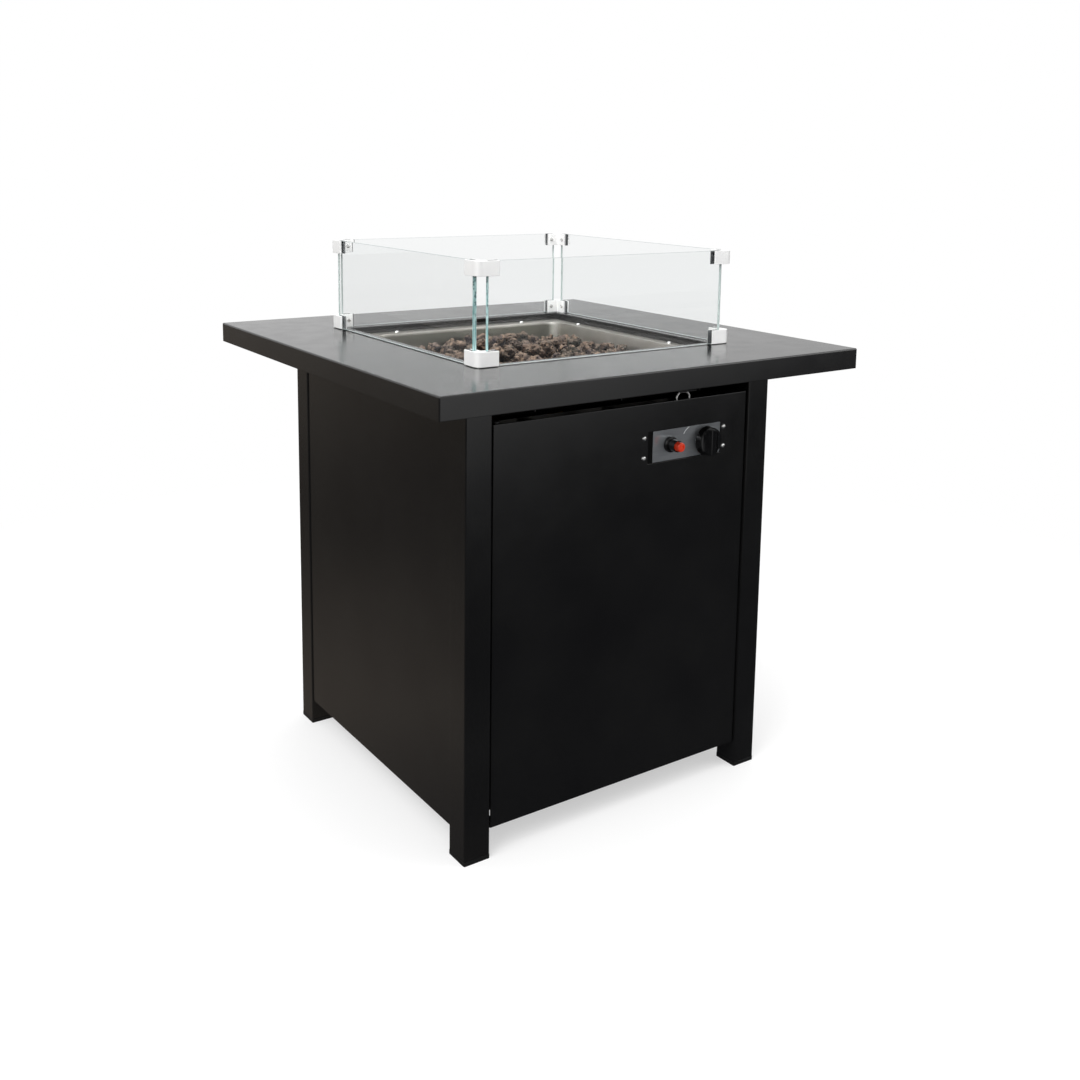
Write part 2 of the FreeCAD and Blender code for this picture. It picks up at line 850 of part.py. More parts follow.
def hinge_screw_points():
    """Screws of the two hinge brackets, as (y, z) on the leg's inner face, upper pair first."""
    points = []
    for height in ("hinge_high + hinge_sheet - hinge_plate / 2", "hinge_low + hinge_plate / 2"):
        for side in (-1, 1):
            level = f"{height} + {side} * hinge_screw_pitch / 2"
            points.append(("hinge_front + hinge_depth / 2", level))
    return points


def hinge_bracket(label, tab_low, plate_low):
    """A folded bracket: a plate on the leg, and a tab that reaches forward inside the door."""
    body = new_body(label)
    tab = [
        ("-leg_inner", "hinge_front"),
        ("pin_x - hinge_arm", "hinge_front"),
        ("pin_x - hinge_arm", "pin_y"),
        ("pin_x - hinge_arm / 2", "pin_y - hinge_arm"),
        ("pin_x + hinge_arm / 2", "pin_y - hinge_arm"),
        ("pin_x + hinge_arm", "pin_y"),
        ("pin_x + hinge_arm", "hinge_rear - hinge_arm"),
        ("pin_x", "hinge_rear"),
        ("-leg_inner", "hinge_rear"),
    ]
    pad(body, "XY_Plane", tab_low, "hinge_sheet", tab)
    plate = rectangle("-leg_inner", "hinge_front", "-leg_inner + hinge_sheet", "hinge_rear")
    pad(body, "XY_Plane", plate_low, "hinge_plate", plate)
    pocket(body, "XY_Plane", tab_low, "hinge_sheet", (("pin_x", "pin_y"), "pin_radius + pin_fit"))
    first = 0 if label == "hinge_bracket_upper" else 2
    holes = [screw_hole(point) for point in hinge_screw_points()[first:first + 2]]
    pocket(body, "YZ_Plane", "-leg_inner", "hinge_sheet", *holes)


def hinge_pins():
    """Two headed pins: the upper one goes down through the door's top flange, the lower one up."""
    body = new_body("hinge_pins")
    centre = ("pin_x", "pin_y")
    reach = "hinge_sheet + 2 * hinge_gap + door_sheet + 1"
    pad(body, "XY_Plane", "hinge_high - 1", reach, (centre, "pin_radius"))
    pad(body, "XY_Plane", "door_top + hinge_gap", "pin_head_height", (centre, "pin_head_radius"))
    pad(body, "XY_Plane", "ground_gap - hinge_gap", reach, (centre, "pin_radius"))
    low = "ground_gap - hinge_gap - pin_head_height"
    pad(body, "XY_Plane", low, "pin_head_height", (centre, "pin_head_radius"))


def hinge_screws():
    seat_x = -value("leg_inner") + value("hinge_sheet")
    middle = value("hinge_front") + value("hinge_depth") / 2
    upper = value("hinge_high") + value("hinge_sheet") - value("hinge_plate") / 2
    lower = value("hinge_low") + value("hinge_plate") / 2
    step = value("hinge_screw_pitch") / 2
    seats = [
        ((seat_x, middle, height + side * step), (1, 0, 0))
        for height in (upper, lower) for side in (-1, 1)
    ]
    grip = value("hinge_sheet") + value("leg_wall")
    screw_group("hinge_screws", standard_screw(grip), seats)


def control_screw_points():
    return [
        (across, f"table_height - control_screw_drop{row}")
        for across in ("control_screw_left", "control_screw_right")
        for row in ("", " - control_screw_pitch")
    ]


def window():
    return rectangle("window_left", "window_bottom", "window_right", "window_top")


def catch_feet():
    return [
        (f"catch_place + {side} * catch_width / 2", "catch_middle") for side in (-1, 1)
    ]


def door_panel():
    outline = ("-door_half", "ground_gap", "door_right", "door_top")
    body = folded_tray(
        "door_panel", "XZ_Plane", outline, "door_face", 1, "door_depth", "door_sheet", "door_round",
    )
    pocket(body, "XZ_Plane", "door_face", "door_sheet", window())
    holes = [screw_hole(point) for point in control_screw_points()]
    pocket(body, "XZ_Plane", "door_face", "door_sheet", *holes)
    pin = (("pin_x", "pin_y"), "pin_radius + pin_fit")
    pocket(body, "XY_Plane", "ground_gap", "door_sheet", pin)
    feet = [(point, "catch_wire + catch_fit") for point in catch_feet()]
    pocket(body, "XY_Plane", "door_top - door_sheet", "door_sheet", pin, *feet)
    # The left flange is notched at both ends, where the hinge brackets reach in behind it.
    inside = "door_face + door_sheet"
    upper = rectangle(inside, "door_top - hinge_notch", "door_rear", "door_top - door_sheet")
    lower = rectangle(inside, "ground_gap + door_sheet", "door_rear", "ground_gap + hinge_notch")
    pocket(body, "YZ_Plane", "-door_half", "door_sheet", upper, lower)


def bent_wire(spots, bend, radius):
    """A round wire along a line through the spots, with its corners bent to a radius."""
    edges = []
    start = spots[0]
    for before, corner, after in zip(spots, spots[1:], spots[2:]):
        arriving = (corner - before).normalize()
        leaving = (after - corner).normalize()
        half_turn = arriving.getAngle(leaving) / 2
        inset = bend * math.tan(half_turn)
        middle = corner + (leaving - arriving).normalize() * (bend / math.cos(half_turn) - bend)
        first, last = corner - arriving * inset, corner + leaving * inset
        edges.append(Part.LineSegment(start, first).toShape())
        edges.append(Part.Arc(first, middle, last).toShape())
        start = last
    edges.append(Part.LineSegment(start, spots[-1]).toShape())
    path = Part.Wire(edges)
    section = Part.Wire(Part.Circle(spots[0], spots[1] - spots[0], radius).toShape())
    return path.makePipeShell([section], True, False)


def door_catch():
    """Spring wire, bent to a round-topped arch, with its feet through the door's top flange."""
    half = value("catch_width") / 2
    base = value("door_top")
    crown = value("catch_crown")
    top = base + value("catch_height") - value("catch_wire")
    foot = base - value("catch_tail")
    points = [(-half, foot), (-half, base + 3), (-crown, top), (crown, top), (half, base + 3), (half, foot)]
    middle = Vector(value("catch_place"), value("catch_middle"), 0)
    spots = [middle + Vector(across, 0, up) for across, up in points]
    add_shape("door_catch", bent_wire(spots, 2 * value("catch_wire"), value("catch_wire")))


def catch_strike():
    """A folded plate under the front rail, which the crest of the spring wire presses on."""
    body = new_body("catch_strike")
    front, rear = "-panel_face + panel_sheet", "door_rear"
    profile = [
        (front, "rail_bottom"), (rear, "rail_bottom"), (rear, "strike_low"), (front, "strike_low"),
        (front, "strike_low + strike_sheet"), (f"{rear} - strike_sheet", "strike_low + strike_sheet"),
        (f"{rear} - strike_sheet", "rail_bottom - strike_sheet"), (front, "rail_bottom - strike_sheet"),
    ]
    pad(body, "YZ_Plane", "catch_place - strike_width / 2", "strike_width", profile)


# Controls -------------------------------------------------------------------------------------

KNOB_AXIS = ("knob_place", "control_z")
IGNITER_AXIS = ("igniter_place", "igniter_z")


def valve_screw_points():
    return [(f"knob_place + {side} * valve_screw_pitch / 2", "control_z") for side in (-1, 1)]


def control_tray():
    body = new_body("control_tray")
    grow = "tray_clear + tray_sheet"
    outer = rectangle(
        f"window_left - {grow}", f"window_bottom - {grow}", f"window_right + {grow}", f"window_top + {grow}",
    )
    flange = rectangle(
        "window_left - tray_flange", "window_bottom - tray_flange / 2",
        "window_right + tray_flange", "window_top + tray_flange / 2",
    )
    inner = rectangle(
        "window_left - tray_clear", "window_bottom - tray_clear",
        "window_right + tray_clear", "window_top + tray_clear",
    )
    start = "door_face + door_sheet"
    pad(body, "XZ_Plane", start, "tray_sheet", flange)
    pad(body, "XZ_Plane", start, "control_recess + tray_sheet - door_sheet", outer)
    pocket(body, "XZ_Plane", start, "control_recess - door_sheet", inner)
    screws = [screw_hole(point) for point in control_screw_points()]
    pocket(body, "XZ_Plane", start, "tray_sheet", *screws)
    valve = [screw_hole(point) for point in valve_screw_points()]
    neck = (IGNITER_AXIS, "igniter_neck + igniter_fit")
    stem = (KNOB_AXIS, "stem_collar + 1")
    pocket(body, "XZ_Plane", "tray_face", "tray_sheet", neck, stem, *valve)


def control_faceplate():
    body = new_body("control_faceplate")
    gap = "faceplate_gap"
    outline = rectangle(
        "faceplate_left", f"window_bottom + {gap}", f"window_right - {gap}", f"window_top - {gap}",
    )
    holes = [screw_hole(point) for point in valve_screw_points()]
    neck = (IGNITER_AXIS, "igniter_neck + igniter_fit")
    pad(
        body, "XZ_Plane", "plate_face", "faceplate_sheet",
        outline, neck, (KNOB_AXIS, "stem_collar + 1"), *holes,
    )


def control_screws():
    seats = []
    for across in ("control_screw_left", "control_screw_right"):
        for row in (0, 1):
            height = value("table_height") - value("control_screw_drop") - row * value("control_screw_pitch")
            seats.append(((value(across), value("door_face"), height), (0, -1, 0)))
    screw_group("control_screws", standard_screw(value("door_sheet") + value("tray_sheet")), seats)


def valve_screws():
    side = value("valve_screw_pitch") / 2
    seats = [
        ((value("knob_place") + sign * side, value("plate_face"), value("control_z")), (0, -1, 0))
        for sign in (-1, 1)
    ]
    grip = value("tray_sheet") + value("faceplate_sheet")
    flat_head = screw_shape(
        value("screw_head_radius"), value("valve_screw_head"), value("screw_radius"),
        grip + value("screw_tail"),
    )
    screw_group("valve_screws", flat_head, seats)


def igniter_body():
    """Piezo igniter: a threaded neck through the faceplate and a round housing behind the tray."""
    body = new_body("igniter_body")
    pad(
        body, "XZ_Plane", "plate_face - collar_length + 1",
        "faceplate_sheet + tray_sheet + collar_length", (IGNITER_AXIS, "igniter_neck"),
    )
    pad(body, "XZ_Plane", "tray_rear", "igniter_body_length", (IGNITER_AXIS, "igniter_body_radius"))
    tail = "tray_rear + igniter_body_length"
    tabs = [
        rectangle(
            f"igniter_place + {side} * igniter_neck / 2 - 0.4", "igniter_z - 3",
            f"igniter_place + {side} * igniter_neck / 2 + 0.4", "igniter_z + 3",
        ) for side in (-1, 1)
    ]
    pad(body, "XZ_Plane", tail, "8", *tabs)
    pocket(
        body, "XZ_Plane", "plate_face - collar_length + 1",
        "collar_length + button_travel + button_fit + 3", (IGNITER_AXIS, "button_radius + button_fit"),
    )


def igniter_collar():
    """The nut on the igniter's neck: a wide ring on the faceplate and a narrow nose before it."""
    body = new_body("igniter_collar")
    front = "plate_face - collar_length"
    ring = pad(body, "XZ_Plane", front, "collar_length", (IGNITER_AXIS, "collar_radius"))
    doc.recompute()
    edge_at = ring.Shape.BoundBox.YMin
    bevel_edges(body, ring, "button_round", lambda edge: near(edge.BoundBox.YMax, edge_at))
    nose = f"{front} - collar_neck_length"
    pad(
        body, "XZ_Plane", nose, "collar_neck_length + collar_length / 2",
        (IGNITER_AXIS, "collar_neck_radius"),
    )
    neck = (IGNITER_AXIS, "igniter_neck + igniter_fit")
    pocket(body, "XZ_Plane", f"{front} + 1 - igniter_fit", "collar_length", neck)
    lip = (IGNITER_AXIS, "button_radius + button_fit")
    pocket(body, "XZ_Plane", nose, "collar_neck_length + collar_length", lip)


def igniter_button():
    body = new_body("igniter_button")
    button = pad(
        body, "XZ_Plane", "door_face - button_out", "button_out + control_recess",
        (IGNITER_AXIS, "button_radius"),
    )
    doc.recompute()
    front = button.Shape.BoundBox.YMin
    bevel_edges(body, button, "button_round", lambda edge: near(edge.BoundBox.YMax, front))


def gas_valve():
    """Valve: a round bonnet on the tray, a cast block behind it and a boss for each gas fitting."""
    body = new_body("gas_valve")
    start = "tray_rear"
    pad(body, "XZ_Plane", start, "valve_depth / 2", (KNOB_AXIS, "valve_height / 2"))
    ears = rectangle(
        "knob_place - valve_screw_pitch / 2 - 5", "control_z - 5",
        "knob_place + valve_screw_pitch / 2 + 5", "control_z + 5",
    )
    pad(body, "XZ_Plane", start, "valve_depth / 4", ears)
    block = rectangle(
        "knob_place - valve_width / 2", "control_z - valve_height / 2",
        "knob_place + valve_width / 2", "control_z + valve_height / 2",
    )
    pad(body, "XZ_Plane", f"{start} + valve_depth / 2", "valve_depth / 2", block)
    boss = (("knob_place", f"{start} + valve_depth * 3 / 4"), "valve_boss * 3 / 5")
    pad(body, "XY_Plane", "control_z - valve_height / 2 - 4", "4", boss)
    side_boss = ((f"{start} + valve_depth * 3 / 4", "control_z"), "valve_boss * 3 / 5")
    pad(body, "YZ_Plane", "knob_place + valve_width / 2", "4", side_boss)
    stem = (KNOB_AXIS, "stem_collar + stem_fit")
    pocket(body, "XZ_Plane", start, "valve_depth / 2", stem)
    holes = [screw_hole(point) for point in valve_screw_points()]
    pocket(body, "XZ_Plane", start, "valve_depth / 4", *holes)


def flare_fitting(label, plane, centre, hex_low, thread_low):
    """A brass fitting: a hexagon against the valve and a threaded end with a bore."""
    body = new_body(label)
    pad(body, plane, hex_low, "hex_height", hexagon(*centre, "hex_radius"))
    pad(body, plane, thread_low, "flare_length", (centre, "flare_radius"))
    pocket(body, plane, thread_low, "flare_length", (centre, "flare_bore"))


def valve_fittings():
    depth = "tray_rear + valve_depth * 3 / 4"
    hex_low = "control_z - valve_height / 2 - 4 - hex_height"
    flare_fitting(
        "valve_inlet_fitting", "XY_Plane", ("knob_place", depth), hex_low, f"{hex_low} - flare_length",
    )
    hex_low = "knob_place + valve_width / 2 + 4"
    flare_fitting(
        "valve_outlet_fitting", "YZ_Plane", (depth, "control_z"), hex_low, f"{hex_low} + hex_height",
    )


def stem_profile(radius, flat):
    """A round of the given radius with a flat that stands the given distance from its middle."""
    half = math.sqrt(radius * radius - flat * flat)
    start, end = Vector(-half, flat, 0), Vector(half, flat, 0)
    arc = Part.Arc(end, Vector(0, -radius, 0), start).toShape()
    return Part.Face(Part.Wire([Part.LineSegment(start, end).toShape(), arc]))


def along_knob_axis(shape, low):
    """Stands a shape drawn along +Z on the knob's axis, from the given depth to the back."""
    shape = shape.copy()
    turn = FreeCAD.Rotation(Vector(1, 0, 0), -90)
    shape.Placement = FreeCAD.Placement(Vector(value("knob_place"), low, value("control_z")), turn)
    return shape


def valve_stem():
    """The spindle that the knob turns: a flatted end and a round collar inside the valve."""
    radius, flat = value("stem_radius"), value("stem_flat")
    tip = value("stem_tip")
    shoulder = value("tray_rear") + 1
    end = value("tray_rear") + value("valve_depth") / 2 - value("stem_fit")
    shaft = stem_profile(radius, flat).extrude(Vector(0, 0, shoulder - tip))
    collar = Part.makeCylinder(value("stem_collar"), end - shoulder)
    solid = along_knob_axis(shaft, tip).fuse(along_knob_axis(collar, shoulder))
    add_shape("valve_stem", solid)


def control_knob():
    """Moulded knob: a round skirt with a ridge across it to grip, bored for the flatted spindle."""
    radius, skirt = value("knob_radius"), value("knob_skirt")
    front = value("door_face") - value("knob_out")
    rear = value("knob_rear")
    rise = value("knob_round")
    disc = along_knob_axis(Part.makeCone(radius - rise, radius, skirt), rear - skirt)
    foot, crest = value("knob_grip_width") / 2, value("knob_grip_crest") / 2
    section = [
        (-foot, rear - skirt / 2), (-foot, rear - skirt), (-crest, front),
        (crest, front), (foot, rear - skirt), (foot, rear - skirt / 2), (-foot, rear - skirt / 2),
    ]
    low = value("control_z") - radius
    ridge = Part.Face(Part.makePolygon([
        Vector(value("knob_place") + across, depth, low) for across, depth in section
    ]))
    ridge = ridge.extrude(Vector(0, 0, 2 * radius))
    ridge = ridge.common(along_knob_axis(Part.makeCylinder(radius * 0.86, rear - front), front))
    edges = [edge for edge in ridge.Edges if near(edge.BoundBox.YMax, front)]
    knob = disc.fuse(ridge.makeChamfer(rise / 2, edges)).removeSplitter()
    tip = value("stem_tip") - value("knob_press") - value("knob_clear")
    fit = value("stem_fit")
    bore = stem_profile(value("stem_radius") + fit, value("stem_flat") + fit)
    bore = along_knob_axis(bore.extrude(Vector(0, 0, rear - tip)), tip)
    add_shape("control_knob", knob.cut(bore))


# Burner pan and burner ------------------------------------------------------------------------

def burner_pan():
    """A drawn bowl with tapered walls and large corners, under a flange that lies on the ledge."""
    body = new_body("burner_pan")
    mouth, corner = value("pan_mouth"), value("pan_round")
    sketch = new_sketch(body, "XY_Plane", "ledge_top + pan_sheet")
    draw_rounded_square(sketch, "pan_mouth", "pan_round", mouth, corner)
    bowl = body.newObject("PartDesign::Pad", "Bowl")
    bowl.Profile = sketch
    bowl.Reversed = True
    bowl.setExpression("Length", owned("pan_depth + 2 * pan_sheet"))
    bowl.setExpression("TaperAngle", owned("-pan_taper"))
    sketch = new_sketch(body, "XY_Plane", "ledge_top + pan_sheet")
    draw_rounded_square(sketch, "pan_mouth - pan_sheet", "pan_round - pan_sheet", mouth, corner)
    hollow = body.newObject("PartDesign::Pocket", "Hollow")
    hollow.Profile = sketch
    hollow.setExpression("Length", owned("pan_depth + pan_sheet"))
    hollow.setExpression("TaperAngle", owned("-pan_taper"))
    # The inner foot is rounded first: it adds metal that the outer rounding then takes away.
    doc.recompute()
    floor = value("pan_floor")
    inner = round_edges(
        body, hollow, "pan_foot_round - pan_sheet", lambda edge: near(edge.BoundBox.ZMax, floor),
    )
    doc.recompute()
    low = value("pan_under")
    round_edges(body, inner, "pan_foot_round", lambda edge: near(edge.BoundBox.ZMax, low))
    flange = new_sketch(body, "XY_Plane", "ledge_top")
    draw_polygon(flange, square("opening_half - pan_flange_gap"))
    draw_rounded_square(
        flange, "pan_mouth - pan_sheet * 3 / 4", "pan_round - pan_sheet * 3 / 4", mouth, corner,
    )
    plate = body.newObject("PartDesign::Pad", "Flange")
    plate.Profile = flange
    plate.setExpression("Length", owned("pan_sheet"))
    pocket(
        body, "XY_Plane", "ledge_top", "pan_sheet",
        *[screw_hole(point) for point in pan_screw_points()],
    )
    drains = [
        ((signed(sx, "drain_place"), signed(sy, "drain_place")), "drain_radius")
        for sx, sy in CORNERS.values()
    ]
    pocket(
        body, "XY_Plane", "pan_under", "pan_sheet",
        (("0", "0"), "nipple_radius + nipple_fit"),
        (("-electrode_side", "-shield_place"), "electrode_radius + nipple_fit"),
        (("electrode_side", "-shield_place"), "thermocouple_radius + nipple_fit"),
        *drains,
    )


def pan_screws():
    reach = value("opening_half") - value("pan_screw_inset")
    side = value("pan_screw_spacing") / 2
    top = value("ledge_top") + value("pan_sheet")
    seats = []
    for along in (-side, side):
        for across in (-reach, reach):
            seats.append(((along, across, top), (0, 0, 1)))
            seats.append(((across, along, top), (0, 0, 1)))
    screw_group("pan_screws", standard_screw(value("pan_sheet") + value("top_sheet")), seats)


def burner():
    """Two ported tubes joined by a cross tube, on a pipe nipple through the pan's floor."""
    body = new_body("burner")
    low, length = "-tube_length / 2", "tube_length"
    sides = [("-tube_spacing", "tube_z"), ("tube_spacing", "tube_z")]
    middle = ("0", "tube_z")
    nipple_low, nipple_length = "nut_bottom - nipple_drop", "tube_z - nut_bottom + nipple_drop"
    pad(body, "YZ_Plane", "-tube_spacing", "2 * tube_spacing", (middle, "tube_radius"))
    pad(body, "XZ_Plane", low, length, *[(side, "tube_radius") for side in sides])
    pad(body, "XY_Plane", nipple_low, nipple_length, (("0", "0"), "nipple_radius"))
    pocket(
        body, "YZ_Plane", "-tube_spacing", "2 * tube_spacing", (middle, "tube_radius - tube_wall"),
    )
    pocket(
        body, "XZ_Plane", f"{low} + tube_wall", f"{length} - 2 * tube_wall",
        *[(side, "tube_radius - tube_wall") for side in sides],
    )
    pocket(
        body, "XY_Plane", nipple_low, nipple_length, (("0", "0"), "nipple_radius - nipple_wall"),
    )
    count = int(value("port_count"))
    ports = [
        hexagon(side, f"({step} - (port_count - 1) / 2) * port_pitch", "port_radius")
        for side in ("-tube_spacing", "tube_spacing") for step in range(count)
    ]
    pocket(body, "XY_Plane", "tube_z", "tube_radius", *ports)


def burner_locknut():
    body = new_body("burner_locknut")
    pad(
        body, "XY_Plane", "nut_bottom", "locknut_height",
        hexagon("0", "0", "locknut_radius"), (("0", "0"), "nipple_radius + nipple_fit"),
    )


def inlet_elbow():
    """Cast elbow below the pan: its upright socket takes the nipple, the level one the mixer."""
    body = new_body("inlet_elbow")
    upright = pad(body, "XY_Plane", "elbow_bottom", "elbow_height", (("0", "0"), "elbow_radius"))
    doc.recompute()
    base = value("elbow_bottom")
    bevel_edges(body, upright, "elbow_radius / 3", lambda edge: near(edge.BoundBox.ZMax, base))
    pad(body, "XZ_Plane", "-elbow_reach", "elbow_reach", (("0", "mixer_z"), "elbow_radius"))
    pocket(
        body, "XY_Plane", "nut_bottom - nipple_drop - nipple_fit", "elbow_height",
        (("0", "0"), "nipple_radius + nipple_fit"),
    )
    pocket(
        body, "XY_Plane", "mixer_z", "elbow_height", (("0", "0"), "mixer_radius - mixer_wall"),
    )
    pocket(
        body, "XZ_Plane", "-elbow_reach", "mixer_insert",
        (("0", "mixer_z"), "mixer_radius + nipple_fit"),
    )
    pocket(
        body, "XZ_Plane", "-elbow_reach", "elbow_reach", (("0", "mixer_z"), "mixer_radius - mixer_wall"),
    )


def air_mixer():
    """A tube with four windows in its wall, through which the gas jet draws air."""
    body = new_body("air_mixer")
    centre = ("0", "mixer_z")
    pad(
        body, "XZ_Plane", "mixer_end", "mixer_length",
        (centre, "mixer_radius"), (centre, "mixer_radius - mixer_wall"),
    )
    start = "mixer_end + jet_nose + 4"
    end = f"{start} + 2 * mixer_window"
    level = rectangle("-mixer_window / 2", start, "mixer_window / 2", end)
    pocket(body, "XY_Plane", "mixer_z - 2 * mixer_radius", "4 * mixer_radius", level)
    upright = rectangle(start, "mixer_z - mixer_window / 2", end, "mixer_z + mixer_window / 2")
    pocket(body, "YZ_Plane", "-2 * mixer_radius", "4 * mixer_radius", upright)


def gas_orifice():
    """Brass jet: a nose in the mixer's end, a hexagon and a threaded end for the burner's hose."""
    body = new_body("gas_orifice")
    centre = ("0", "mixer_z")
    hex_low = "mixer_end - hex_height"
    pad(body, "XZ_Plane", hex_low, "hex_height", hexagon(*centre, "hex_radius"))
    nose = "mixer_radius - mixer_wall - nipple_fit"
    pad(body, "XZ_Plane", "mixer_end", "jet_nose", (centre, nose))
    thread = f"{hex_low} - flare_length"
    pad(body, "XZ_Plane", thread, "flare_length", (centre, "flare_radius"))
    pocket(body, "XZ_Plane", thread, "flare_length + hex_height", (centre, "flare_bore"))
    pocket(body, "XZ_Plane", "mixer_end", "jet_nose", (centre, "port_radius"))


def electrode_shield():
    body = new_body("electrode_shield")
    half, sheet = "shield_width / 2", "shield_sheet"
    high = "pan_floor + shield_height"
    profile = [
        (f"-{half}", "pan_floor"), (f"-{half}", high), (half, high), (half, "pan_floor"),
        (f"{half} - {sheet}", "pan_floor"), (f"{half} - {sheet}", f"{high} - {sheet}"),
        (f"-{half} + {sheet}", f"{high} - {sheet}"), (f"-{half} + {sheet}", "pan_floor"),
    ]
    pad(body, "XZ_Plane", "-shield_place - shield_depth / 2", "shield_depth", profile)


def spark_electrode():
    """A ceramic sleeve through the pan's floor with a spark wire that bends over at its tip."""
    body = new_body("spark_electrode")
    centre = ("-electrode_side", "-shield_place")
    low = "pan_under - electrode_tail"
    pad(body, "XY_Plane", low, "electrode_tail + electrode_ceramic", (centre, "electrode_radius"))
    top = "pan_under + electrode_ceramic"
    pad(body, "XY_Plane", top, "electrode_tip - electrode_ceramic", (centre, "electrode_wire"))
    tip = (("-shield_place", "pan_under + electrode_tip"), "electrode_wire")
    pad(body, "YZ_Plane", "-electrode_side", "electrode_side", tip)
    nut = hexagon(*centre, "electrode_radius + 3")
    pad(body, "XY_Plane", "pan_floor", "3", nut)


def thermocouple():
    body = new_body("thermocouple")
    centre = ("electrode_side", "-shield_place")
    low = "pan_under - electrode_tail"
    pad(body, "XY_Plane", low, "electrode_tail + electrode_tip", (centre, "thermocouple_radius"))
    pad(body, "XY_Plane", "pan_floor", "3", hexagon(*centre, "thermocouple_radius + 3"))


# Lava rocks -----------------------------------------------------------------------------------

class Lump:
    """A closed convex solid of triangles, with its upper and lower faces as height functions."""

    def __init__(self, corners, faces):
        self.corners = corners
        self.faces = faces
        self.update()

    def update(self):
        """Works out each face's height as z = p x + q y + r, apart for upper and lower faces."""
        self.spots = [(corner.x, corner.y, corner.z) for corner in self.corners]
        self.upper = []
        self.lower = []
        edges = set()
        for a, b, c in self.faces:
            edges.update(tuple(sorted(pair)) for pair in ((a, b), (b, c), (c, a)))
            first = self.corners[a]
            normal = (self.corners[b] - first).cross(self.corners[c] - first)
            if abs(normal.z) < 1e-9:
                continue
            p, q = -normal.x / normal.z, -normal.y / normal.z
            plane = (p, q, first.z - p * first.x - q * first.y)
            (self.upper if normal.z > 0 else self.lower).append(plane)
        self.edges = [self.spots[i] + self.spots[j] for i, j in sorted(edges)]
        across, along, up = zip(*self.spots)
        self.low_x, self.high_x = min(across), max(across)
        self.low_y, self.high_y = min(along), max(along)
        self.low_z, self.high_z = min(up), max(up)

    def moved(self, step):
        return Lump([corner + step for corner in self.corners], self.faces)

    def span_at(self, x, y):
        """The lowest and highest z over a point, in that order only inside the solid's outline."""
        if not (self.low_x <= x <= self.high_x and self.low_y <= y <= self.high_y):
            return 1, 0
        low = max([p * x + q * y + r for p, q, r in self.lower])
        high = min([p * x + q * y + r for p, q, r in self.upper])
        return low, high

    def is_convex(self):
        for a, b, c in self.faces:
            first = self.corners[a]
            normal = (self.corners[b] - first).cross(self.corners[c] - first)
            normal.normalize()
            if any((corner - first).dot(normal) > 1e-6 for corner in self.corners):
                return False
        return True

    def solid(self):
        faces = []
        for a, b, c in self.faces:
            loop = [self.corners[a], self.corners[b], self.corners[c], self.corners[a]]
            faces.append(Part.Face(Part.makePolygon(loop)))
        return Part.makeSolid(Part.makeShell(faces))


def icosahedron():
    """The twelve corners and twenty faces that every rock is squeezed and skewed from."""
    golden = (1 + math.sqrt(5)) / 2
    corners = []
    for a in (-1, 1):
        for b in (-golden, golden):
            corners += [Vector(0, a, b), Vector(a, b, 0), Vector(b, 0, a)]
    for corner in corners:
        corner.normalize()
    edge = min((corners[0] - other).Length for other in corners[1:]) * 1.01
    faces = []
    for a in range(12):
        for b in range(a + 1, 12):
            for c in range(b + 1, 12):
                sides = ((a, b), (b, c), (c, a))
                if all((corners[i] - corners[j]).Length < edge for i, j in sides):
                    normal = (corners[b] - corners[a]).cross(corners[c] - corners[a])
                    faces.append((a, b, c) if normal.dot(corners[a]) > 0 else (a, c, b))
    return corners, faces


def prism(outline, low, high):
    """A convex block over an outline that runs anticlockwise, used as a support for the rocks."""
    count = len(outline)
    corners = [Vector(x, y, z) for z in (low, high) for x, y in outline]
    faces = []
    for i in range(count):
        j = (i + 1) % count
        faces += [(i, j, count + j), (i, count + j, count + i)]
    for i in range(1, count - 1):
        faces += [(0, i + 1, i), (count, count + i, count + i + 1)]
    return Lump(corners, faces)


def level_tube(middle_x, half_x, half_y, radius, height):
    """A twelve-sided bar round a level tube, along whichever half length is longer."""
    sides = 12
    reach = radius / math.cos(math.pi / sides)
    angles = [(2 * i + 1) * math.pi / sides for i in range(sides)]
    ring = [(reach * math.cos(angle), reach * math.sin(angle)) for angle in angles]
    corners = []
    for end in (-1, 1):
        for across, up in ring:
            if half_y > half_x:
                corners.append(Vector(middle_x + across, end * half_y, height + up))
            else:
                corners.append(Vector(middle_x + end * half_x, -across, height + up))
    faces = []
    for i in range(sides):
        j = (i + 1) % sides
        faces += [(i, sides + j, j), (i, sides + i, sides + j)]
    for i in range(1, sides - 1):
        faces += [(0, i, i + 1), (sides, sides + i + 1, sides + i)]
    return Lump(corners, faces)


def edge_drops(upper, lower):
    """The height between each edge of one lump and each edge of another that it crosses."""
    facing = [edge for edge in lower.edges
              if max(edge[0], edge[3]) > upper.low_x and min(edge[0], edge[3]) < upper.high_x
              and max(edge[1], edge[4]) > upper.low_y and min(edge[1], edge[4]) < upper.high_y]
    found = []
    for ax, ay, az, bx, by, bz in upper.edges:
        ux, uy = bx - ax, by - ay
        left, right = (ax, bx) if ax < bx else (bx, ax)
        for cx, cy, cz, dx, dy, dz in facing:
            if (cx < left and dx < left) or (cx > right and dx > right):
                continue
            vx, vy = dx - cx, dy - cy
            cross = ux * vy - uy * vx
            if -1e-9 < cross < 1e-9:
                continue
            along = ((cx - ax) * vy - (cy - ay) * vx) / cross
            if 0 <= along <= 1:
                other = ((cx - ax) * uy - (cy - ay) * ux) / cross
                if 0 <= other <= 1:
                    found.append(az + along * (bz - az) - cz - other * (dz - cz))
    return found


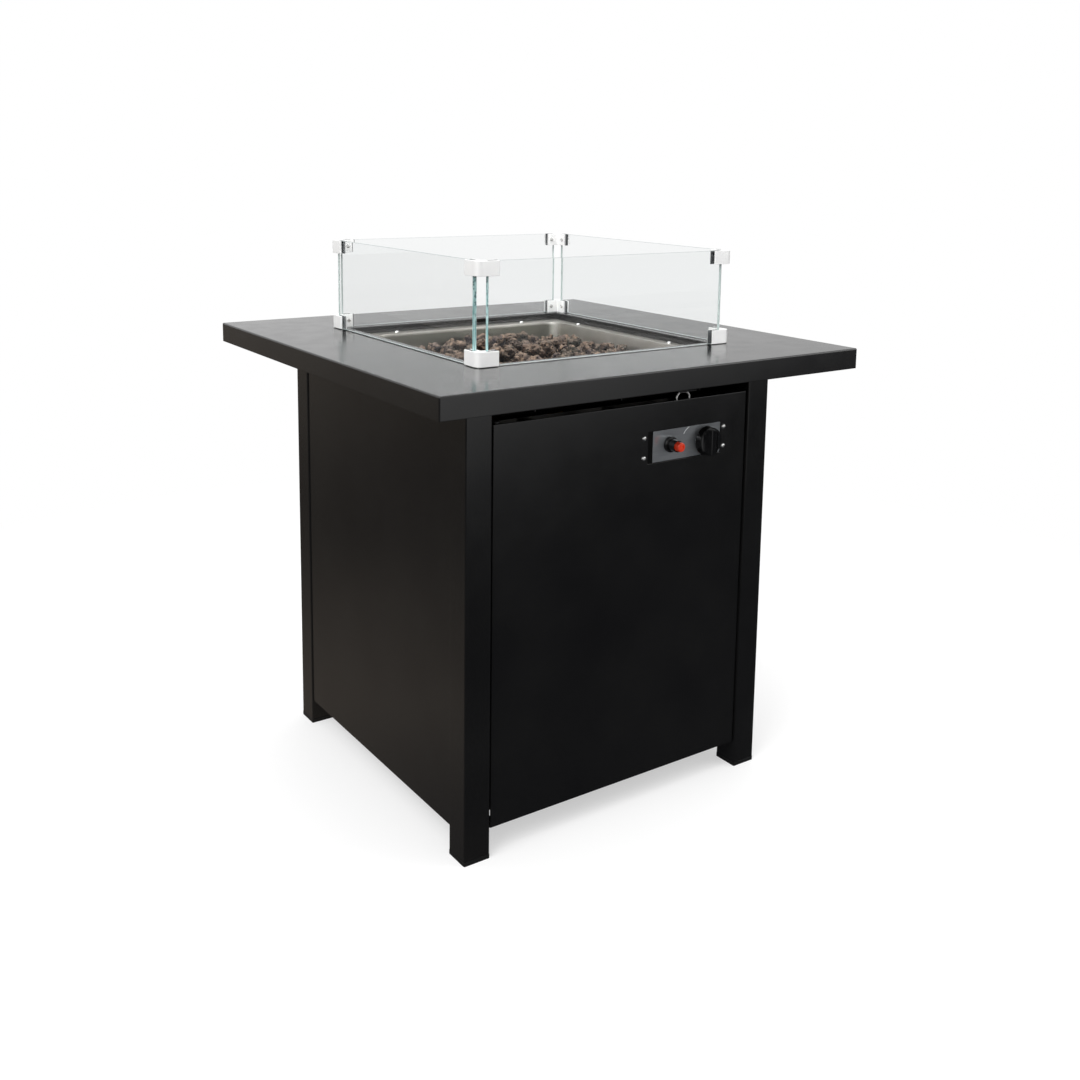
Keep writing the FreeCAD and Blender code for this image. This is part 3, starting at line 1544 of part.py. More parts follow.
def clearance_above(upper, lower):
    """How far one convex lump can sink before it touches another below it, or None."""
    if upper.low_x > lower.high_x or upper.high_x < lower.low_x:
        return None
    if upper.low_y > lower.high_y or upper.high_y < lower.low_y:
        return None
    found = edge_drops(upper, lower)
    for x, y, z in upper.spots:
        low, high = lower.span_at(x, y)
        if low <= high:
            found.append(z - high)
    for x, y, z in lower.spots:
        low, high = upper.span_at(x, y)
        if low <= high:
            found.append(low - z)
    return min(found) if found else None


def new_rock(shape, chance, size):
    """A rock about the origin: the shape with uneven corners, squeezed and turned at random."""
    corners, faces = shape
    while True:
        uneven = [corner * chance.uniform(0.84, 1.12) for corner in corners]
        stretch = [size / 2 * chance.uniform(0.86, 1.2) for _ in range(2)]
        stretch.append(size / 2 * chance.uniform(0.72, 0.95))
        spun = FreeCAD.Rotation(Vector(0, 0, 1), chance.uniform(0, 360))
        tilted = FreeCAD.Rotation(Vector(1, 0, 0), chance.uniform(-35, 35))
        twist = FreeCAD.Rotation(Vector(0, 1, 0), chance.uniform(0, 360))
        points = []
        for corner in uneven:
            turned = twist.multVec(corner)
            squeezed = Vector(turned.x * stretch[0], turned.y * stretch[1], turned.z * stretch[2])
            points.append(spun.multVec(tilted.multVec(squeezed)))
        rock = Lump(points, faces)
        if rock.is_convex():
            return rock


class PanSpace:
    """The room inside the pan's tapered walls, less a margin."""

    def __init__(self):
        self.slope = math.tan(math.radians(value("pan_taper")))
        self.corner = value("pan_round")
        self.mouth = value("pan_mouth") - value("pan_sheet") - value("rock_margin")
        self.rim = value("ledge_top")

    def holds(self, rock):
        """Whether every corner of a rock stands inside the walls and their round corners."""
        for x, y, z in rock.spots:
            half = self.mouth - (self.rim - z) * self.slope - self.corner
            beyond_x, beyond_y = abs(x) - half, abs(y) - half
            if max(beyond_x, beyond_y) > self.corner:
                return False
            if min(beyond_x, beyond_y) > 0 and math.hypot(beyond_x, beyond_y) > self.corner:
                return False
        return True


def rock_supports():
    floor = value("pan_floor")
    half = value("pan_mouth")
    tube = value("tube_radius")
    height = value("tube_z")
    spacing = value("tube_spacing")
    length = value("tube_length")
    plate = prism([(-half, -half), (half, -half), (half, half), (-half, half)], floor - 1, floor)
    tubes = [level_tube(side * spacing, tube, length / 2, tube, height) for side in (-1, 1)]
    tubes.append(level_tube(0, spacing, 0, tube, height))
    wide, deep = value("shield_width") / 2, value("shield_depth") / 2
    middle = -value("shield_place")
    outline = [(-wide, middle - deep), (wide, middle - deep), (wide, middle + deep), (-wide, middle + deep)]
    return [plate, *tubes, prism(outline, floor, floor + value("shield_height"))]


def drop_height(rock, resting):
    """How far a rock can be let down before it touches any of the lumps that rest already."""
    lowest = None
    for other in sorted(resting, key=lambda lump: -lump.high_z):
        if lowest is not None and rock.low_z - other.high_z >= lowest:
            break
        drop = clearance_above(rock, other)
        if drop is not None and (lowest is None or drop < lowest):
            lowest = drop
    return lowest


def lava_rocks():
    """Rocks let down one by one, each at the lowest of a few places, a hair above its support."""
    shape = icosahedron()
    chance = random.Random(11)
    resting = rock_supports()
    start = len(resting)
    reach = value("pan_mouth") - value("pan_sheet")
    top = value("ledge_top") - value("heap_rim_drop")
    large, small, count = value("rock_large"), value("rock_small"), value("rock_count")
    gap = value("rock_gap")
    space = PanSpace()
    misses = 0
    while misses < value("rock_misses") and len(resting) < start + count:
        size = large + (small - large) * (len(resting) - start) / count
        rock = new_rock(shape, chance, size)
        settled = []
        for _ in range(int(value("rock_tries"))):
            x, y = (
                chance.uniform(-1, 1) * (reach - value("rock_wall") - half)
                for half in (rock.high_x, rock.high_y)
            )
            trial = rock.moved(Vector(x, y, value("table_height") + size))
            trial = trial.moved(Vector(0, 0, gap - drop_height(trial, resting)))
            fall_off = (x * x + y * y) / (reach * reach)
            ceiling = top + value("heap_rise") * (1 - fall_off)
            if trial.high_z < ceiling and space.holds(trial):
                settled.append((trial.high_z, len(settled), trial))
        if settled:
            resting.append(min(settled)[2])
            misses = 0
        else:
            misses += 1
    add_shape("lava_rocks", Part.makeCompound([rock.solid() for rock in resting[start:]]))
    print("rocks", len(resting) - start)


# Wind guard -----------------------------------------------------------------------------------

def corner_point(side_x, side_y, along, across, turned):
    """A plan point in a corner's own measure: along one leg and across it from the outer face."""
    first, second = (across, along) if turned else (along, across)
    return (
        signed(side_x, f"guard_half - ({first})"),
        signed(side_y, f"guard_half - ({second})"),
    )


def glass_pane(label, turned, side):
    body = new_body(label)
    outer = signed(side, "glass_outer")
    inner = signed(side, "glass_outer - glass_sheet")
    if turned:
        outline = rectangle(outer, "-glass_half", inner, "glass_half")
    else:
        outline = rectangle("-glass_half", outer, "glass_half", inner)
    low = "guard_low + pad_clear"
    pad(body, "XY_Plane", low, f"guard_top - glass_top_gap - {low}", outline)


def clamp(label, side_x, side_y, low):
    """An L-shaped aluminium clamp: solid corner, a slot for a pane in each leg, a screw in each."""
    body = new_body(label)
    slot = "clamp_depth - clamp_wall"
    local = [
        ("0", "0"), ("clamp_leg", "0"), ("clamp_leg", "clamp_wall"), ("clamp_web", "clamp_wall"),
        ("clamp_web", slot), ("clamp_leg", slot), ("clamp_leg", "clamp_depth"),
        ("clamp_depth", "clamp_depth"), ("clamp_depth", "clamp_leg"), (slot, "clamp_leg"),
        (slot, "clamp_web"), ("clamp_wall", "clamp_web"), ("clamp_wall", "clamp_leg"),
        ("0", "clamp_leg"),
    ]
    outline = [corner_point(side_x, side_y, a, b, False) for a, b in local]
    block = pad(body, "XY_Plane", low, "clamp_height", outline)
    half, leg = value("guard_half"), value("clamp_leg")

    def at(edge, along, across):
        box = edge.BoundBox
        return (
            is_upright(edge)
            and near(abs(box.Center.x), half - along)
            and near(abs(box.Center.y), half - across)
        )

    crown = round_edges(body, block, "clamp_round", lambda edge: at(edge, 0, 0))
    round_edges(
        body, crown, "clamp_edge_round",
        lambda edge: at(edge, leg, 0) or at(edge, 0, leg) or (
            is_upright(edge) and near(abs(edge.BoundBox.Center.x), abs(edge.BoundBox.Center.y))
        ),
    )
    height = f"{low} + clamp_height / 2"
    radius = "clamp_screw_radius + pin_fit"
    place = "guard_half - clamp_screw_place"
    wall_low = "guard_half - clamp_depth" if side_y > 0 else "-guard_half + clamp_depth - clamp_wall"
    pocket(body, "XZ_Plane", wall_low, "clamp_wall", ((signed(side_x, place), height), radius))
    wall_low = "guard_half - clamp_depth" if side_x > 0 else "-guard_half + clamp_depth - clamp_wall"
    pocket(body, "YZ_Plane", wall_low, "clamp_wall", ((signed(side_y, place), height), radius))


CLAMP_LEVELS = {"lower": "guard_low", "upper": "guard_top - clamp_height"}


def clamp_pads():
    """Rubber liners, one in each slot, that wrap a pane's end and stand proud on its inner side."""
    body = new_body("clamp_pads")
    low, high = "clamp_wall + pad_clear", "clamp_depth - clamp_wall - pad_clear"
    web, end, short = "clamp_web + pad_clear", "clamp_leg + pad_proud", "clamp_leg - pad_short"
    local = [
        (web, low), (short, low), (short, f"{low} + pad_wall - pad_clear"),
        (f"{web} + pad_wall", f"{low} + pad_wall - pad_clear"),
        (f"{web} + pad_wall", f"{high} - pad_wall + pad_clear"),
        (end, f"{high} - pad_wall + pad_clear"), (end, high), (web, high),
    ]
    outlines = [
        [corner_point(side_x, side_y, a, b, turned) for a, b in local]
        for side_x, side_y in CORNERS.values() for turned in (False, True)
    ]
    for level in CLAMP_LEVELS.values():
        pad(body, "XY_Plane", level, "clamp_height", *outlines)


def clamp_screws():
    place = value("guard_half") - value("clamp_screw_place")
    seat = value("guard_half") - value("clamp_depth")
    radius = value("clamp_screw_radius")
    screw = screw_shape(value("clamp_screw_head"), radius, radius, value("clamp_wall"))
    seats = []
    for low in (value("guard_low"), value("guard_top") - value("clamp_height")):
        height = low + value("clamp_height") / 2
        for side_x, side_y in CORNERS.values():
            seats.append(((side_x * place, side_y * seat, height), (0, -side_y, 0)))
            seats.append(((side_x * seat, side_y * place, height), (-side_x, 0, 0)))
    screw_group("clamp_screws", screw, seats)


def guard_feet():
    """Thin rubber soles under the lower clamps, which also carry the panes' lower edges."""
    body = new_body("guard_feet")
    inset = "clamp_round / 3"
    local = [
        (inset, inset), ("clamp_leg", inset), ("clamp_leg", "clamp_depth"),
        ("clamp_depth", "clamp_depth"), ("clamp_depth", "clamp_leg"), (inset, "clamp_leg"),
    ]
    outlines = [
        [corner_point(side_x, side_y, a, b, False) for a, b in local]
        for side_x, side_y in CORNERS.values()
    ]
    pad(body, "XY_Plane", "table_height", "guard_foot", *outlines)


def wind_guard():
    glass_pane("glass_front", False, -1)
    glass_pane("glass_rear", False, 1)
    glass_pane("glass_left", True, -1)
    glass_pane("glass_right", True, 1)
    for level, low in CLAMP_LEVELS.items():
        for corner, (side_x, side_y) in CORNERS.items():
            clamp(f"clamp_{level}_{corner}", side_x, side_y, low)
    clamp_pads()
    clamp_screws()
    guard_feet()


# Assembly -------------------------------------------------------------------------------------

def cabinet():
    table_top()
    top_nuts()
    top_gussets()
    for corner, (side_x, side_y) in CORNERS.items():
        leg("leg_" + corner, side_x, side_y)
    foot_caps()
    side_panel("panel_left", -1)
    side_panel("panel_right", 1)
    panel_back()
    front_rail()
    panel_screws()
    base_shelf()
    tank_ring()
    hinge_bracket("hinge_bracket_upper", "hinge_high", "hinge_high + hinge_sheet - hinge_plate")
    hinge_bracket("hinge_bracket_lower", "hinge_low", "hinge_low")
    hinge_pins()
    hinge_screws()
    catch_strike()


def fire_bowl():
    burner_pan()
    pan_screws()
    burner()
    burner_locknut()
    inlet_elbow()
    air_mixer()
    gas_orifice()
    electrode_shield()
    spark_electrode()
    thermocouple()
    lava_rocks()


def door():
    door_panel()
    door_catch()
    control_tray()
    control_faceplate()
    control_screws()
    igniter_body()
    igniter_collar()
    igniter_button()
    gas_valve()
    valve_fittings()
    valve_screws()
    valve_stem()
    control_knob()


def sub_parts():
    """The objects that are written out: the bodies and the free shapes."""
    kinds = ("PartDesign::Body", "Part::Feature")
    return [item for item in doc.Objects if item.TypeId in kinds]


def check_model():
    faults = []
    for item in doc.Objects:
        if "Invalid" in item.State or "Error" in item.State:
            owners = ", ".join(parent.Label for parent in item.InList)
            faults.append(f"{item.Name} of {owners} {item.State}")
    for item in sub_parts():
        shape = item.Shape
        if shape.isNull() or not shape.isValid() or not shape.Solids:
            faults.append(f"{item.Label} has no valid solid")
    if faults:
        raise RuntimeError("; ".join(faults))


def write_parts():
    os.makedirs("parts", exist_ok=True)
    for item in sub_parts():
        item.Shape.exportStep(f"parts/{item.Label}.step")


cabinet()
fire_bowl()
door()
wind_guard()
doc.recompute()
check_model()
write_parts()
print(len(sub_parts()), "sub-parts written")
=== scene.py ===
import bmesh
import bpy
import math
import random
from mathutils import Matrix, Vector, noise


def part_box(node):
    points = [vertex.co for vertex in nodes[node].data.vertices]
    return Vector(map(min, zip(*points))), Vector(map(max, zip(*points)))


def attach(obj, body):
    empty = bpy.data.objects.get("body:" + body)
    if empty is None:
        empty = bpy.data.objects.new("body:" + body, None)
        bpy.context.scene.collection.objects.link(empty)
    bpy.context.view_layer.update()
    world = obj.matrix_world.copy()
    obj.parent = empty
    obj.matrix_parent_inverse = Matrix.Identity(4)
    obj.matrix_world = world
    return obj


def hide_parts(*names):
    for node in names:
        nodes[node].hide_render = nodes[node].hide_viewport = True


# A square gas fire pit table with a glass wind guard, in a white studio.
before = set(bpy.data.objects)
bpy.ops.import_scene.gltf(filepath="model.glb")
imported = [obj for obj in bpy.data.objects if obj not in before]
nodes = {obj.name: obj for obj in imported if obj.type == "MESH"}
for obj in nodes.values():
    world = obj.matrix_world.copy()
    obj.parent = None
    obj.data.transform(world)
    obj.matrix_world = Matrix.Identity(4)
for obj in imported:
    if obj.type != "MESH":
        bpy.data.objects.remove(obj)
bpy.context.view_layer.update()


# The camera stands to the left of the front at about a person's eye height. The view is shifted
# down, so that the uprights stay nearly upright.
yaw, pitch, roll = math.radians(34.63), math.radians(8.73), math.radians(-0.77)
eye = Vector((-1.02013, -1.51984, 0.93499))
forward = Vector((
    math.sin(yaw) * math.cos(pitch), math.cos(yaw) * math.cos(pitch), -math.sin(pitch),
))
level = Vector((math.cos(yaw), -math.sin(yaw), 0))
down = forward.cross(level)
right = math.cos(roll) * level + math.sin(roll) * down
up = math.sin(roll) * level - math.cos(roll) * down
view = Matrix((right, up, -forward)).transposed().to_4x4()
view.translation = eye
lens = bpy.data.cameras.new("camera")
lens.sensor_width = 36
lens.lens = 39.618
lens.shift_y = -0.1833
camera = bpy.data.objects.new("camera", lens)
camera.matrix_world = view
bpy.context.collection.objects.link(camera)
bpy.context.scene.camera = camera
bpy.context.scene.view_settings.view_transform = "Standard"


# The studio: a white surround, a little dimmer at the right where glossy surfaces mirror it, and three
# broad soft lamps.
def add(tree, kind, links=(), **settings):
    """Adds a shader node: links are its inputs, each a socket to connect or a plain value."""
    node = tree.nodes.new(kind)
    for name, setting in settings.items():
        setattr(node, name, setting)
    for socket, source in dict(links).items():
        if isinstance(source, bpy.types.NodeSocket):
            tree.links.new(source, node.inputs[socket])
        else:
            node.inputs[socket].default_value = source
    return node


def mirror_rays(tree):
    """1 for a ray that a surface mirrors, and 0 for one that passes through glass."""
    rays = add(tree, "ShaderNodeLightPath").outputs
    return add(tree, "ShaderNodeMath", {
        0: rays["Is Glossy Ray"], 1: rays["Is Transmission Ray"],
    }, operation="SUBTRACT", use_clamp=True).outputs[0]


world = bpy.data.worlds.new("studio")
bpy.context.scene.world = world
world.use_nodes = True
world.node_tree.nodes.clear()
rays = add(world.node_tree, "ShaderNodeLightPath").outputs
in_view = add(world.node_tree, "ShaderNodeMath", {
    0: rays["Is Camera Ray"], 1: rays["Is Glossy Ray"],
}, operation="MAXIMUM")
shown = add(world.node_tree, "ShaderNodeMath", {
    0: in_view.outputs[0], 1: rays["Is Transmission Ray"],
}, operation="MAXIMUM")
ambient_strength, shown_strength = 0.72, 1.0
full_strength = add(world.node_tree, "ShaderNodeMapRange", {
    "Value": shown.outputs[0], "To Min": ambient_strength, "To Max": shown_strength,
})
mirrored = mirror_rays(world.node_tree)
direction = add(world.node_tree, "ShaderNodeTexCoord").outputs["Generated"]
rightward = add(world.node_tree, "ShaderNodeSeparateXYZ", {"Vector": direction}).outputs["X"]
falling = add(world.node_tree, "ShaderNodeMapRange", {
    "Value": rightward, "From Min": 0.45, "From Max": 0.8, "To Min": 1.0, "To Max": 0.8,
})
falling_when_mirrored = add(world.node_tree, "ShaderNodeMix", {
    0: mirrored, 2: 1.0, 3: falling.outputs[0],
}, data_type="FLOAT")
strength = add(world.node_tree, "ShaderNodeMath", {
    0: full_strength.outputs[0], 1: falling_when_mirrored.outputs[0],
}, operation="MULTIPLY")
surround = add(world.node_tree, "ShaderNodeBackground", {
    "Color": (1, 1, 1, 1), "Strength": strength.outputs[0],
})
add(world.node_tree, "ShaderNodeOutputWorld", {"Surface": surround.outputs[0]})

lit_point = Vector((0, 0, 0.4))
for name, stand, size, power in (
    ("key", (-2.6, -1.1, 2.6), 2.2, 82),
    ("overhead", (0.3, 0.2, 3.3), 2.6, 50),
    ("fill", (2.4, -2.0, 1.8), 2.0, 26),
):
    lamp = bpy.data.lights.new(name, "AREA")
    lamp.size = size
    lamp.energy = power
    bulb = bpy.data.objects.new(name, lamp)
    bulb.location = stand
    bulb.rotation_euler = (lit_point - bulb.location).to_track_quat("-Z", "Y").to_euler()
    bpy.context.collection.objects.link(bulb)


# The floor is a plain white sheet. Near the table it takes the shadow, and further off it fades into
# the surround. Glossy surfaces mirror it as white only well in front, from the middle to the right. To
# them it is dim grey near the table, in the rest of the front and at the right, and a dull brown at the
# left and behind.
def colour(code):
    """The linear colour of an sRGB hex code."""
    parts = [int(code[i:i + 2], 16) / 255 for i in (0, 2, 4)]
    return [c / 12.92 if c <= 0.04045 else ((c + 0.055) / 1.055) ** 2.4 for c in parts] + [1]


def spread(tree, factor, low, high, start=0.3, end=0.7):
    """Maps a factor, such as a noise, to a range of values."""
    return add(tree, "ShaderNodeMapRange", {
        "Value": factor, "From Min": start, "From Max": end, "To Min": low, "To Max": high,
    }).outputs[0]


def mixed(tree, factor, first, second):
    """A colour between two, each a hex code or a colour socket."""
    node = add(tree, "ShaderNodeMix", data_type="RGBA")
    for socket, source in ((0, factor), (6, first), (7, second)):
        if isinstance(source, str):
            source = colour(source)
        if isinstance(source, bpy.types.NodeSocket):
            tree.links.new(source, node.inputs[socket])
        else:
            node.inputs[socket].default_value = source
    return node.outputs[2]


def new_material(name):
    material = bpy.data.materials.new(name)
    material.use_nodes = True
    material.node_tree.nodes.clear()
    return material, material.node_tree


floor_half = 9
floor_corners = [
    (-floor_half, -floor_half, 0), (floor_half, -floor_half, 0),
    (floor_half, floor_half, 0), (-floor_half, floor_half, 0),
]
floor_mesh = bpy.data.meshes.new("floor")
floor_mesh.from_pydata(floor_corners, [], [(0, 1, 2, 3)])
floor = bpy.data.objects.new("floor", floor_mesh)
bpy.context.collection.objects.link(floor)
white, tree = new_material("studio_white")
floor_mesh.materials.append(white)
rays = add(tree, "ShaderNodeLightPath").outputs
shown = add(tree, "ShaderNodeMath", {
    0: rays["Is Camera Ray"], 1: rays["Is Transmission Ray"],
}, operation="MAXIMUM").outputs[0]
spot = add(tree, "ShaderNodeTexCoord").outputs["Object"]
matt = add(tree, "ShaderNodeBsdfDiffuse", {"Color": (0.5, 0.5, 0.5, 1)})
glow = add(tree, "ShaderNodeEmission", {
    "Color": (1, 1, 1, 1), "Strength": spread(tree, shown, 0, 0.5, 0, 1),
})
near = add(tree, "ShaderNodeAddShader", {0: matt.outputs[0], 1: glow.outputs[0]})
far = add(tree, "ShaderNodeEmission", {"Color": (1, 1, 1, 1), "Strength": shown})
away = add(tree, "ShaderNodeVectorMath", {0: spot}, operation="LENGTH").outputs["Value"]
paper = add(tree, "ShaderNodeMixShader", {
    0: spread(tree, away, 0, 1, 0.7, 1.7), 1: near.outputs[0], 2: far.outputs[0],
})
to_front, to_back_left = (-0.55, -1, 0), (-0.57, 0.82, 0)
forth = add(tree, "ShaderNodeVectorMath", {0: spot, 1: to_front}, operation="DOT_PRODUCT")
sideways = add(tree, "ShaderNodeSeparateXYZ", {"Vector": spot}).outputs["X"]
whiteness = add(tree, "ShaderNodeMath", {
    0: spread(tree, forth.outputs["Value"], 0, 1, 1.2, 2.5),
    1: spread(tree, sideways, 0, 1, -0.2, 0.7),
}, operation="MULTIPLY").outputs[0]
front = mixed(tree, whiteness, "3c3d40", "ffffff")
near_brown = mixed(tree, spread(tree, away, 0, 1, 0.5, 1.3), "7c736a", "544e48")
brown = mixed(tree, spread(tree, away, 0, 1, 1.8, 4.0), near_brown, "857d74")
back = add(tree, "ShaderNodeVectorMath", {0: spot, 1: to_back_left}, operation="DOT_PRODUCT")
dim = add(tree, "ShaderNodeEmission", {
    "Color": mixed(tree, spread(tree, back.outputs["Value"], 0, 1, -0.2, 0.4), front, brown),
})
sheet = add(tree, "ShaderNodeMixShader", {
    0: mirror_rays(tree), 1: paper.outputs[0], 2: dim.outputs[0],
})
add(tree, "ShaderNodeOutputMaterial", {"Surface": sheet.outputs[0]})


# Table top, legs, panels and door are folded sheet steel and square tube under one satin black
# powder coat: a fine orange peel, slightly cloudy. The sunk ledge round the bowl has a smoother coat.
def object_place(tree):
    return add(tree, "ShaderNodeTexCoord").outputs["Object"]


def grain(tree, size, detail=2.0, place=None):
    """Noise whose grains are about the given size in metres."""
    return add(tree, "ShaderNodeTexNoise", {
        "Vector": place or object_place(tree), "Scale": 1 / size, "Detail": detail,
    }).outputs["Fac"]


def bumped(tree, height, depth, strength=1.0, fold=0):
    """A bump of the given depth in metres, over edges softened to the given radius."""
    links = {"Height": height, "Distance": depth, "Strength": strength}
    if fold:
        links["Normal"] = add(tree, "ShaderNodeBevel", {"Radius": fold}, samples=4).outputs[0]
    return add(tree, "ShaderNodeBump", links).outputs[0]


def coat(tree, **inputs):
    """A Principled shader on the surface: inputs are named with underscores for spaces."""
    links = {name.replace("_", " "): source for name, source in inputs.items()}
    shader = add(tree, "ShaderNodeBsdfPrincipled", links)
    add(tree, "ShaderNodeOutputMaterial", {"Surface": shader.outputs[0]})
    return shader


def wear(material, *names):
    """Puts the material on CAD pieces."""
    for name in names:
        for slot in nodes[name].material_slots:
            slot.material = material


powder, tree = new_material("black_powder_coat")
ledge_edge, ledge_top = (0.2008, 0.2016), (0.6635, 0.6645)
ledge_smoother = -0.13
distance = add(tree, "ShaderNodeVectorMath", {0: object_place(tree)}, operation="ABSOLUTE").outputs[0]
out = add(tree, "ShaderNodeSeparateXYZ", {"Vector": distance}).outputs
widest = add(tree, "ShaderNodeMath", {0: out["X"], 1: out["Y"]}, operation="MAXIMUM").outputs[0]
ledge = add(tree, "ShaderNodeMath", {
    0: spread(tree, widest, 1, 0, *ledge_edge), 1: spread(tree, out["Z"], 1, 0, *ledge_top),
}, operation="MULTIPLY").outputs[0]
roughness = add(tree, "ShaderNodeMath", {
    0: ledge, 1: ledge_smoother, 2: spread(tree, grain(tree, 0.035, 4), 0.17, 0.22),
}, operation="MULTIPLY_ADD").outputs[0]
coat(
    tree,
    Base_Color=mixed(tree, spread(tree, grain(tree, 0.12), 0, 1), "0e0e0f", "141414"),
    Roughness=roughness,
    IOR=1.5,
    Normal=bumped(tree, grain(tree, 0.0024), 0.00002, 0.3, 0.0013),
)
wear(
    powder, "table_top", "leg_front_left", "leg_front_right", "leg_rear_left", "leg_rear_right",
    "panel_left", "panel_right", "panel_back", "front_rail", "top_gussets", "base_shelf", "tank_ring",
    "catch_strike", "door_panel",
)


# Feet: caps of black moulded plastic, pressed into the legs' lower ends. The mould leaves their edges
# softly rounded and their skin slightly matt.
same_point = 0.00001


def rounded(name, width, angle=30):
    """A copy of a CAD piece with its sharp edges rounded to the given width in metres."""
    form = bmesh.new()
    form.from_mesh(nodes[name].data)
    bmesh.ops.remove_doubles(form, verts=form.verts, dist=same_point)
    bmesh.ops.dissolve_limit(form, angle_limit=math.radians(1), verts=form.verts, edges=form.edges)
    sharp = [
        edge for edge in form.edges
        if len(edge.link_faces) == 2 and edge.calc_face_angle(0) > math.radians(angle)
    ]
    bmesh.ops.bevel(
        form, geom=sharp, offset=width, offset_type="OFFSET", segments=2, profile=0.5,
        affect="EDGES", clamp_overlap=True,
    )
    mesh = bpy.data.meshes.new("soft_" + name)
    form.to_mesh(mesh)
    form.free()
    piece = new_piece("soft_" + name, mesh)
    piece.modifiers.new("level_faces", "WEIGHTED_NORMAL").keep_sharp = True
    return piece


def new_piece(name, mesh, angle=40):
    piece = bpy.data.objects.new(name, mesh)
    bpy.context.collection.objects.link(piece)
    mesh.shade_smooth()
    mesh.set_sharp_from_angle(angle=math.radians(angle))
    return piece


def place(piece, body, material, slot, *replaced):
    """Gives a finished piece its material and its body, and hides the CAD pieces that it stands for."""
    piece.data.materials.clear()
    piece.data.materials.append(material)
    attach(piece, body)
    if replaced:
        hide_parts(*replaced)


plastic, tree = new_material("black_plastic")
coat(
    tree,
    Base_Color=mixed(tree, spread(tree, grain(tree, 0.03), 0, 1), "101010", "1a1a1b"),
    Roughness=spread(tree, grain(tree, 0.004), 0.36, 0.48),
    IOR=1.4,
    Normal=bumped(tree, grain(tree, 0.0007), 0.00003, 0.4),
)
wear(plastic, "igniter_body")
place(rounded("foot_caps", 0.0006), "cabinet", plastic, "black_plastic", "foot_caps")


# Fixings that the cabinet hides. Nuts, panel screws, locknut, valve screws and stem are steel with a
# bright zinc plate, which has a faint bluish mottle. The hinges' brackets, pins and screws are
# blackened steel.
zinc, tree = new_material("zinc_plate")
coat(
    tree,
    Base_Color=mixed(tree, spread(tree, grain(tree, 0.006, 3), 0, 1), "a9adb3", "c9c8c2"),
    Metallic=1.0,
    Roughness=spread(tree, grain(tree, 0.003), 0.22, 0.4),
    Normal=bumped(tree, grain(tree, 0.0006), 0.00002, 0.3),
)
wear(zinc, "top_nuts", "panel_screws", "burner_locknut", "valve_screws", "valve_stem")

black_steel, tree = new_material("blackened_steel")
coat(
    tree,
    Base_Color=mixed(tree, spread(tree, grain(tree, 0.008, 3), 0, 1), "0d0d0e", "19191a"),
    Roughness=spread(tree, grain(tree, 0.003), 0.35, 0.5),
    Normal=bumped(tree, grain(tree, 0.0008), 0.00002, 0.3),
)
wear(black_steel, "hinge_bracket_upper", "hinge_bracket_lower", "hinge_pins", "hinge_screws")


# Screws of the controls and of the pan: steel with a bright plating. Each has a domed head with a
# cross recess, which bears on the sheet, and a plain shank through it.
def turned(profile, steps=28):
    """A solid turned round +Z from (radius, height) points that start and end on the axis."""
    form = bmesh.new()
    points = [form.verts.new((radius, 0, height)) for radius, height in profile]
    edges = [form.edges.new(pair) for pair in zip(points, points[1:])]
    bmesh.ops.spin(
        form, geom=points + edges, cent=(0, 0, 0), axis=(0, 0, 1), angle=2 * math.pi, steps=steps,
    )
    bmesh.ops.remove_doubles(form, verts=form.verts, dist=0.000001)
    bmesh.ops.recalc_face_normals(form, faces=form.faces)
    return form


def blocks(*sizes):
    """Boxes in one mesh, each a (half x, half y, low z, high z)."""
    form = bmesh.new()
    for half_x, half_y, low, high in sizes:
        made = bmesh.ops.create_cube(form, size=1)["verts"]
        for corner in made:
            corner.co.x *= 2 * half_x
            corner.co.y *= 2 * half_y
            corner.co.z = low if corner.co.z < 0 else high
    return form


def cut(form, tool):
    """The first mesh less the second."""
    objects = []
    for part in (form, tool):
        mesh = bpy.data.meshes.new("cut")
        part.to_mesh(mesh)
        part.free()
        objects.append(bpy.data.objects.new("cut", mesh))
        bpy.context.collection.objects.link(objects[-1])
    modifier = objects[0].modifiers.new("cut", "BOOLEAN")
    modifier.object = objects[1]
    modifier.operation = "DIFFERENCE"
    modifier.solver = "EXACT"
    modifier.use_self = True
    result = bmesh.new()
    bpy.context.view_layer.update()
    graph = bpy.context.evaluated_depsgraph_get()
    result.from_mesh(objects[0].evaluated_get(graph).to_mesh())
    for leftover in objects:
        bpy.data.objects.remove(leftover)
    return result


def screws(name, form, seats):
    """Copies of one screw in one piece: each seat is a point in metres and the head's direction."""
    single = bpy.data.meshes.new("screw")
    form.to_mesh(single)
    group = bmesh.new()
    for seat, outward in seats:
        start = len(group.verts)
        group.from_mesh(single)
        group.verts.ensure_lookup_table()
        turn = Vector(outward).to_track_quat("Z", "Y").to_matrix().to_4x4()
        turn.translation = seat
        for corner in group.verts[start:]:
            corner.co = turn @ corner.co
    mesh = bpy.data.meshes.new(name)
    group.to_mesh(mesh)
    group.free()
    return new_piece(name, mesh)


def domed_screw(grip):
    """A screw with a domed head of 8 mm, whose shank reaches down through the grip."""
    dome = [
        (0, 0.0025), (0.0012, 0.00246), (0.0023, 0.0022), (0.0032, 0.0017), (0.0038, 0.0009),
        (0.004, 0),
    ]
    shank, point = 0.0019, 0.0008
    form = turned(dome + [(shank, 0), (shank, -grip), (0, -grip - point)])
    long_half, thin_half, bottom, over = 0.0021, 0.0004, 0.0011, 0.004
    cross = blocks((long_half, thin_half, bottom, over), (thin_half, long_half, bottom, over))
    return cut(form, cross)


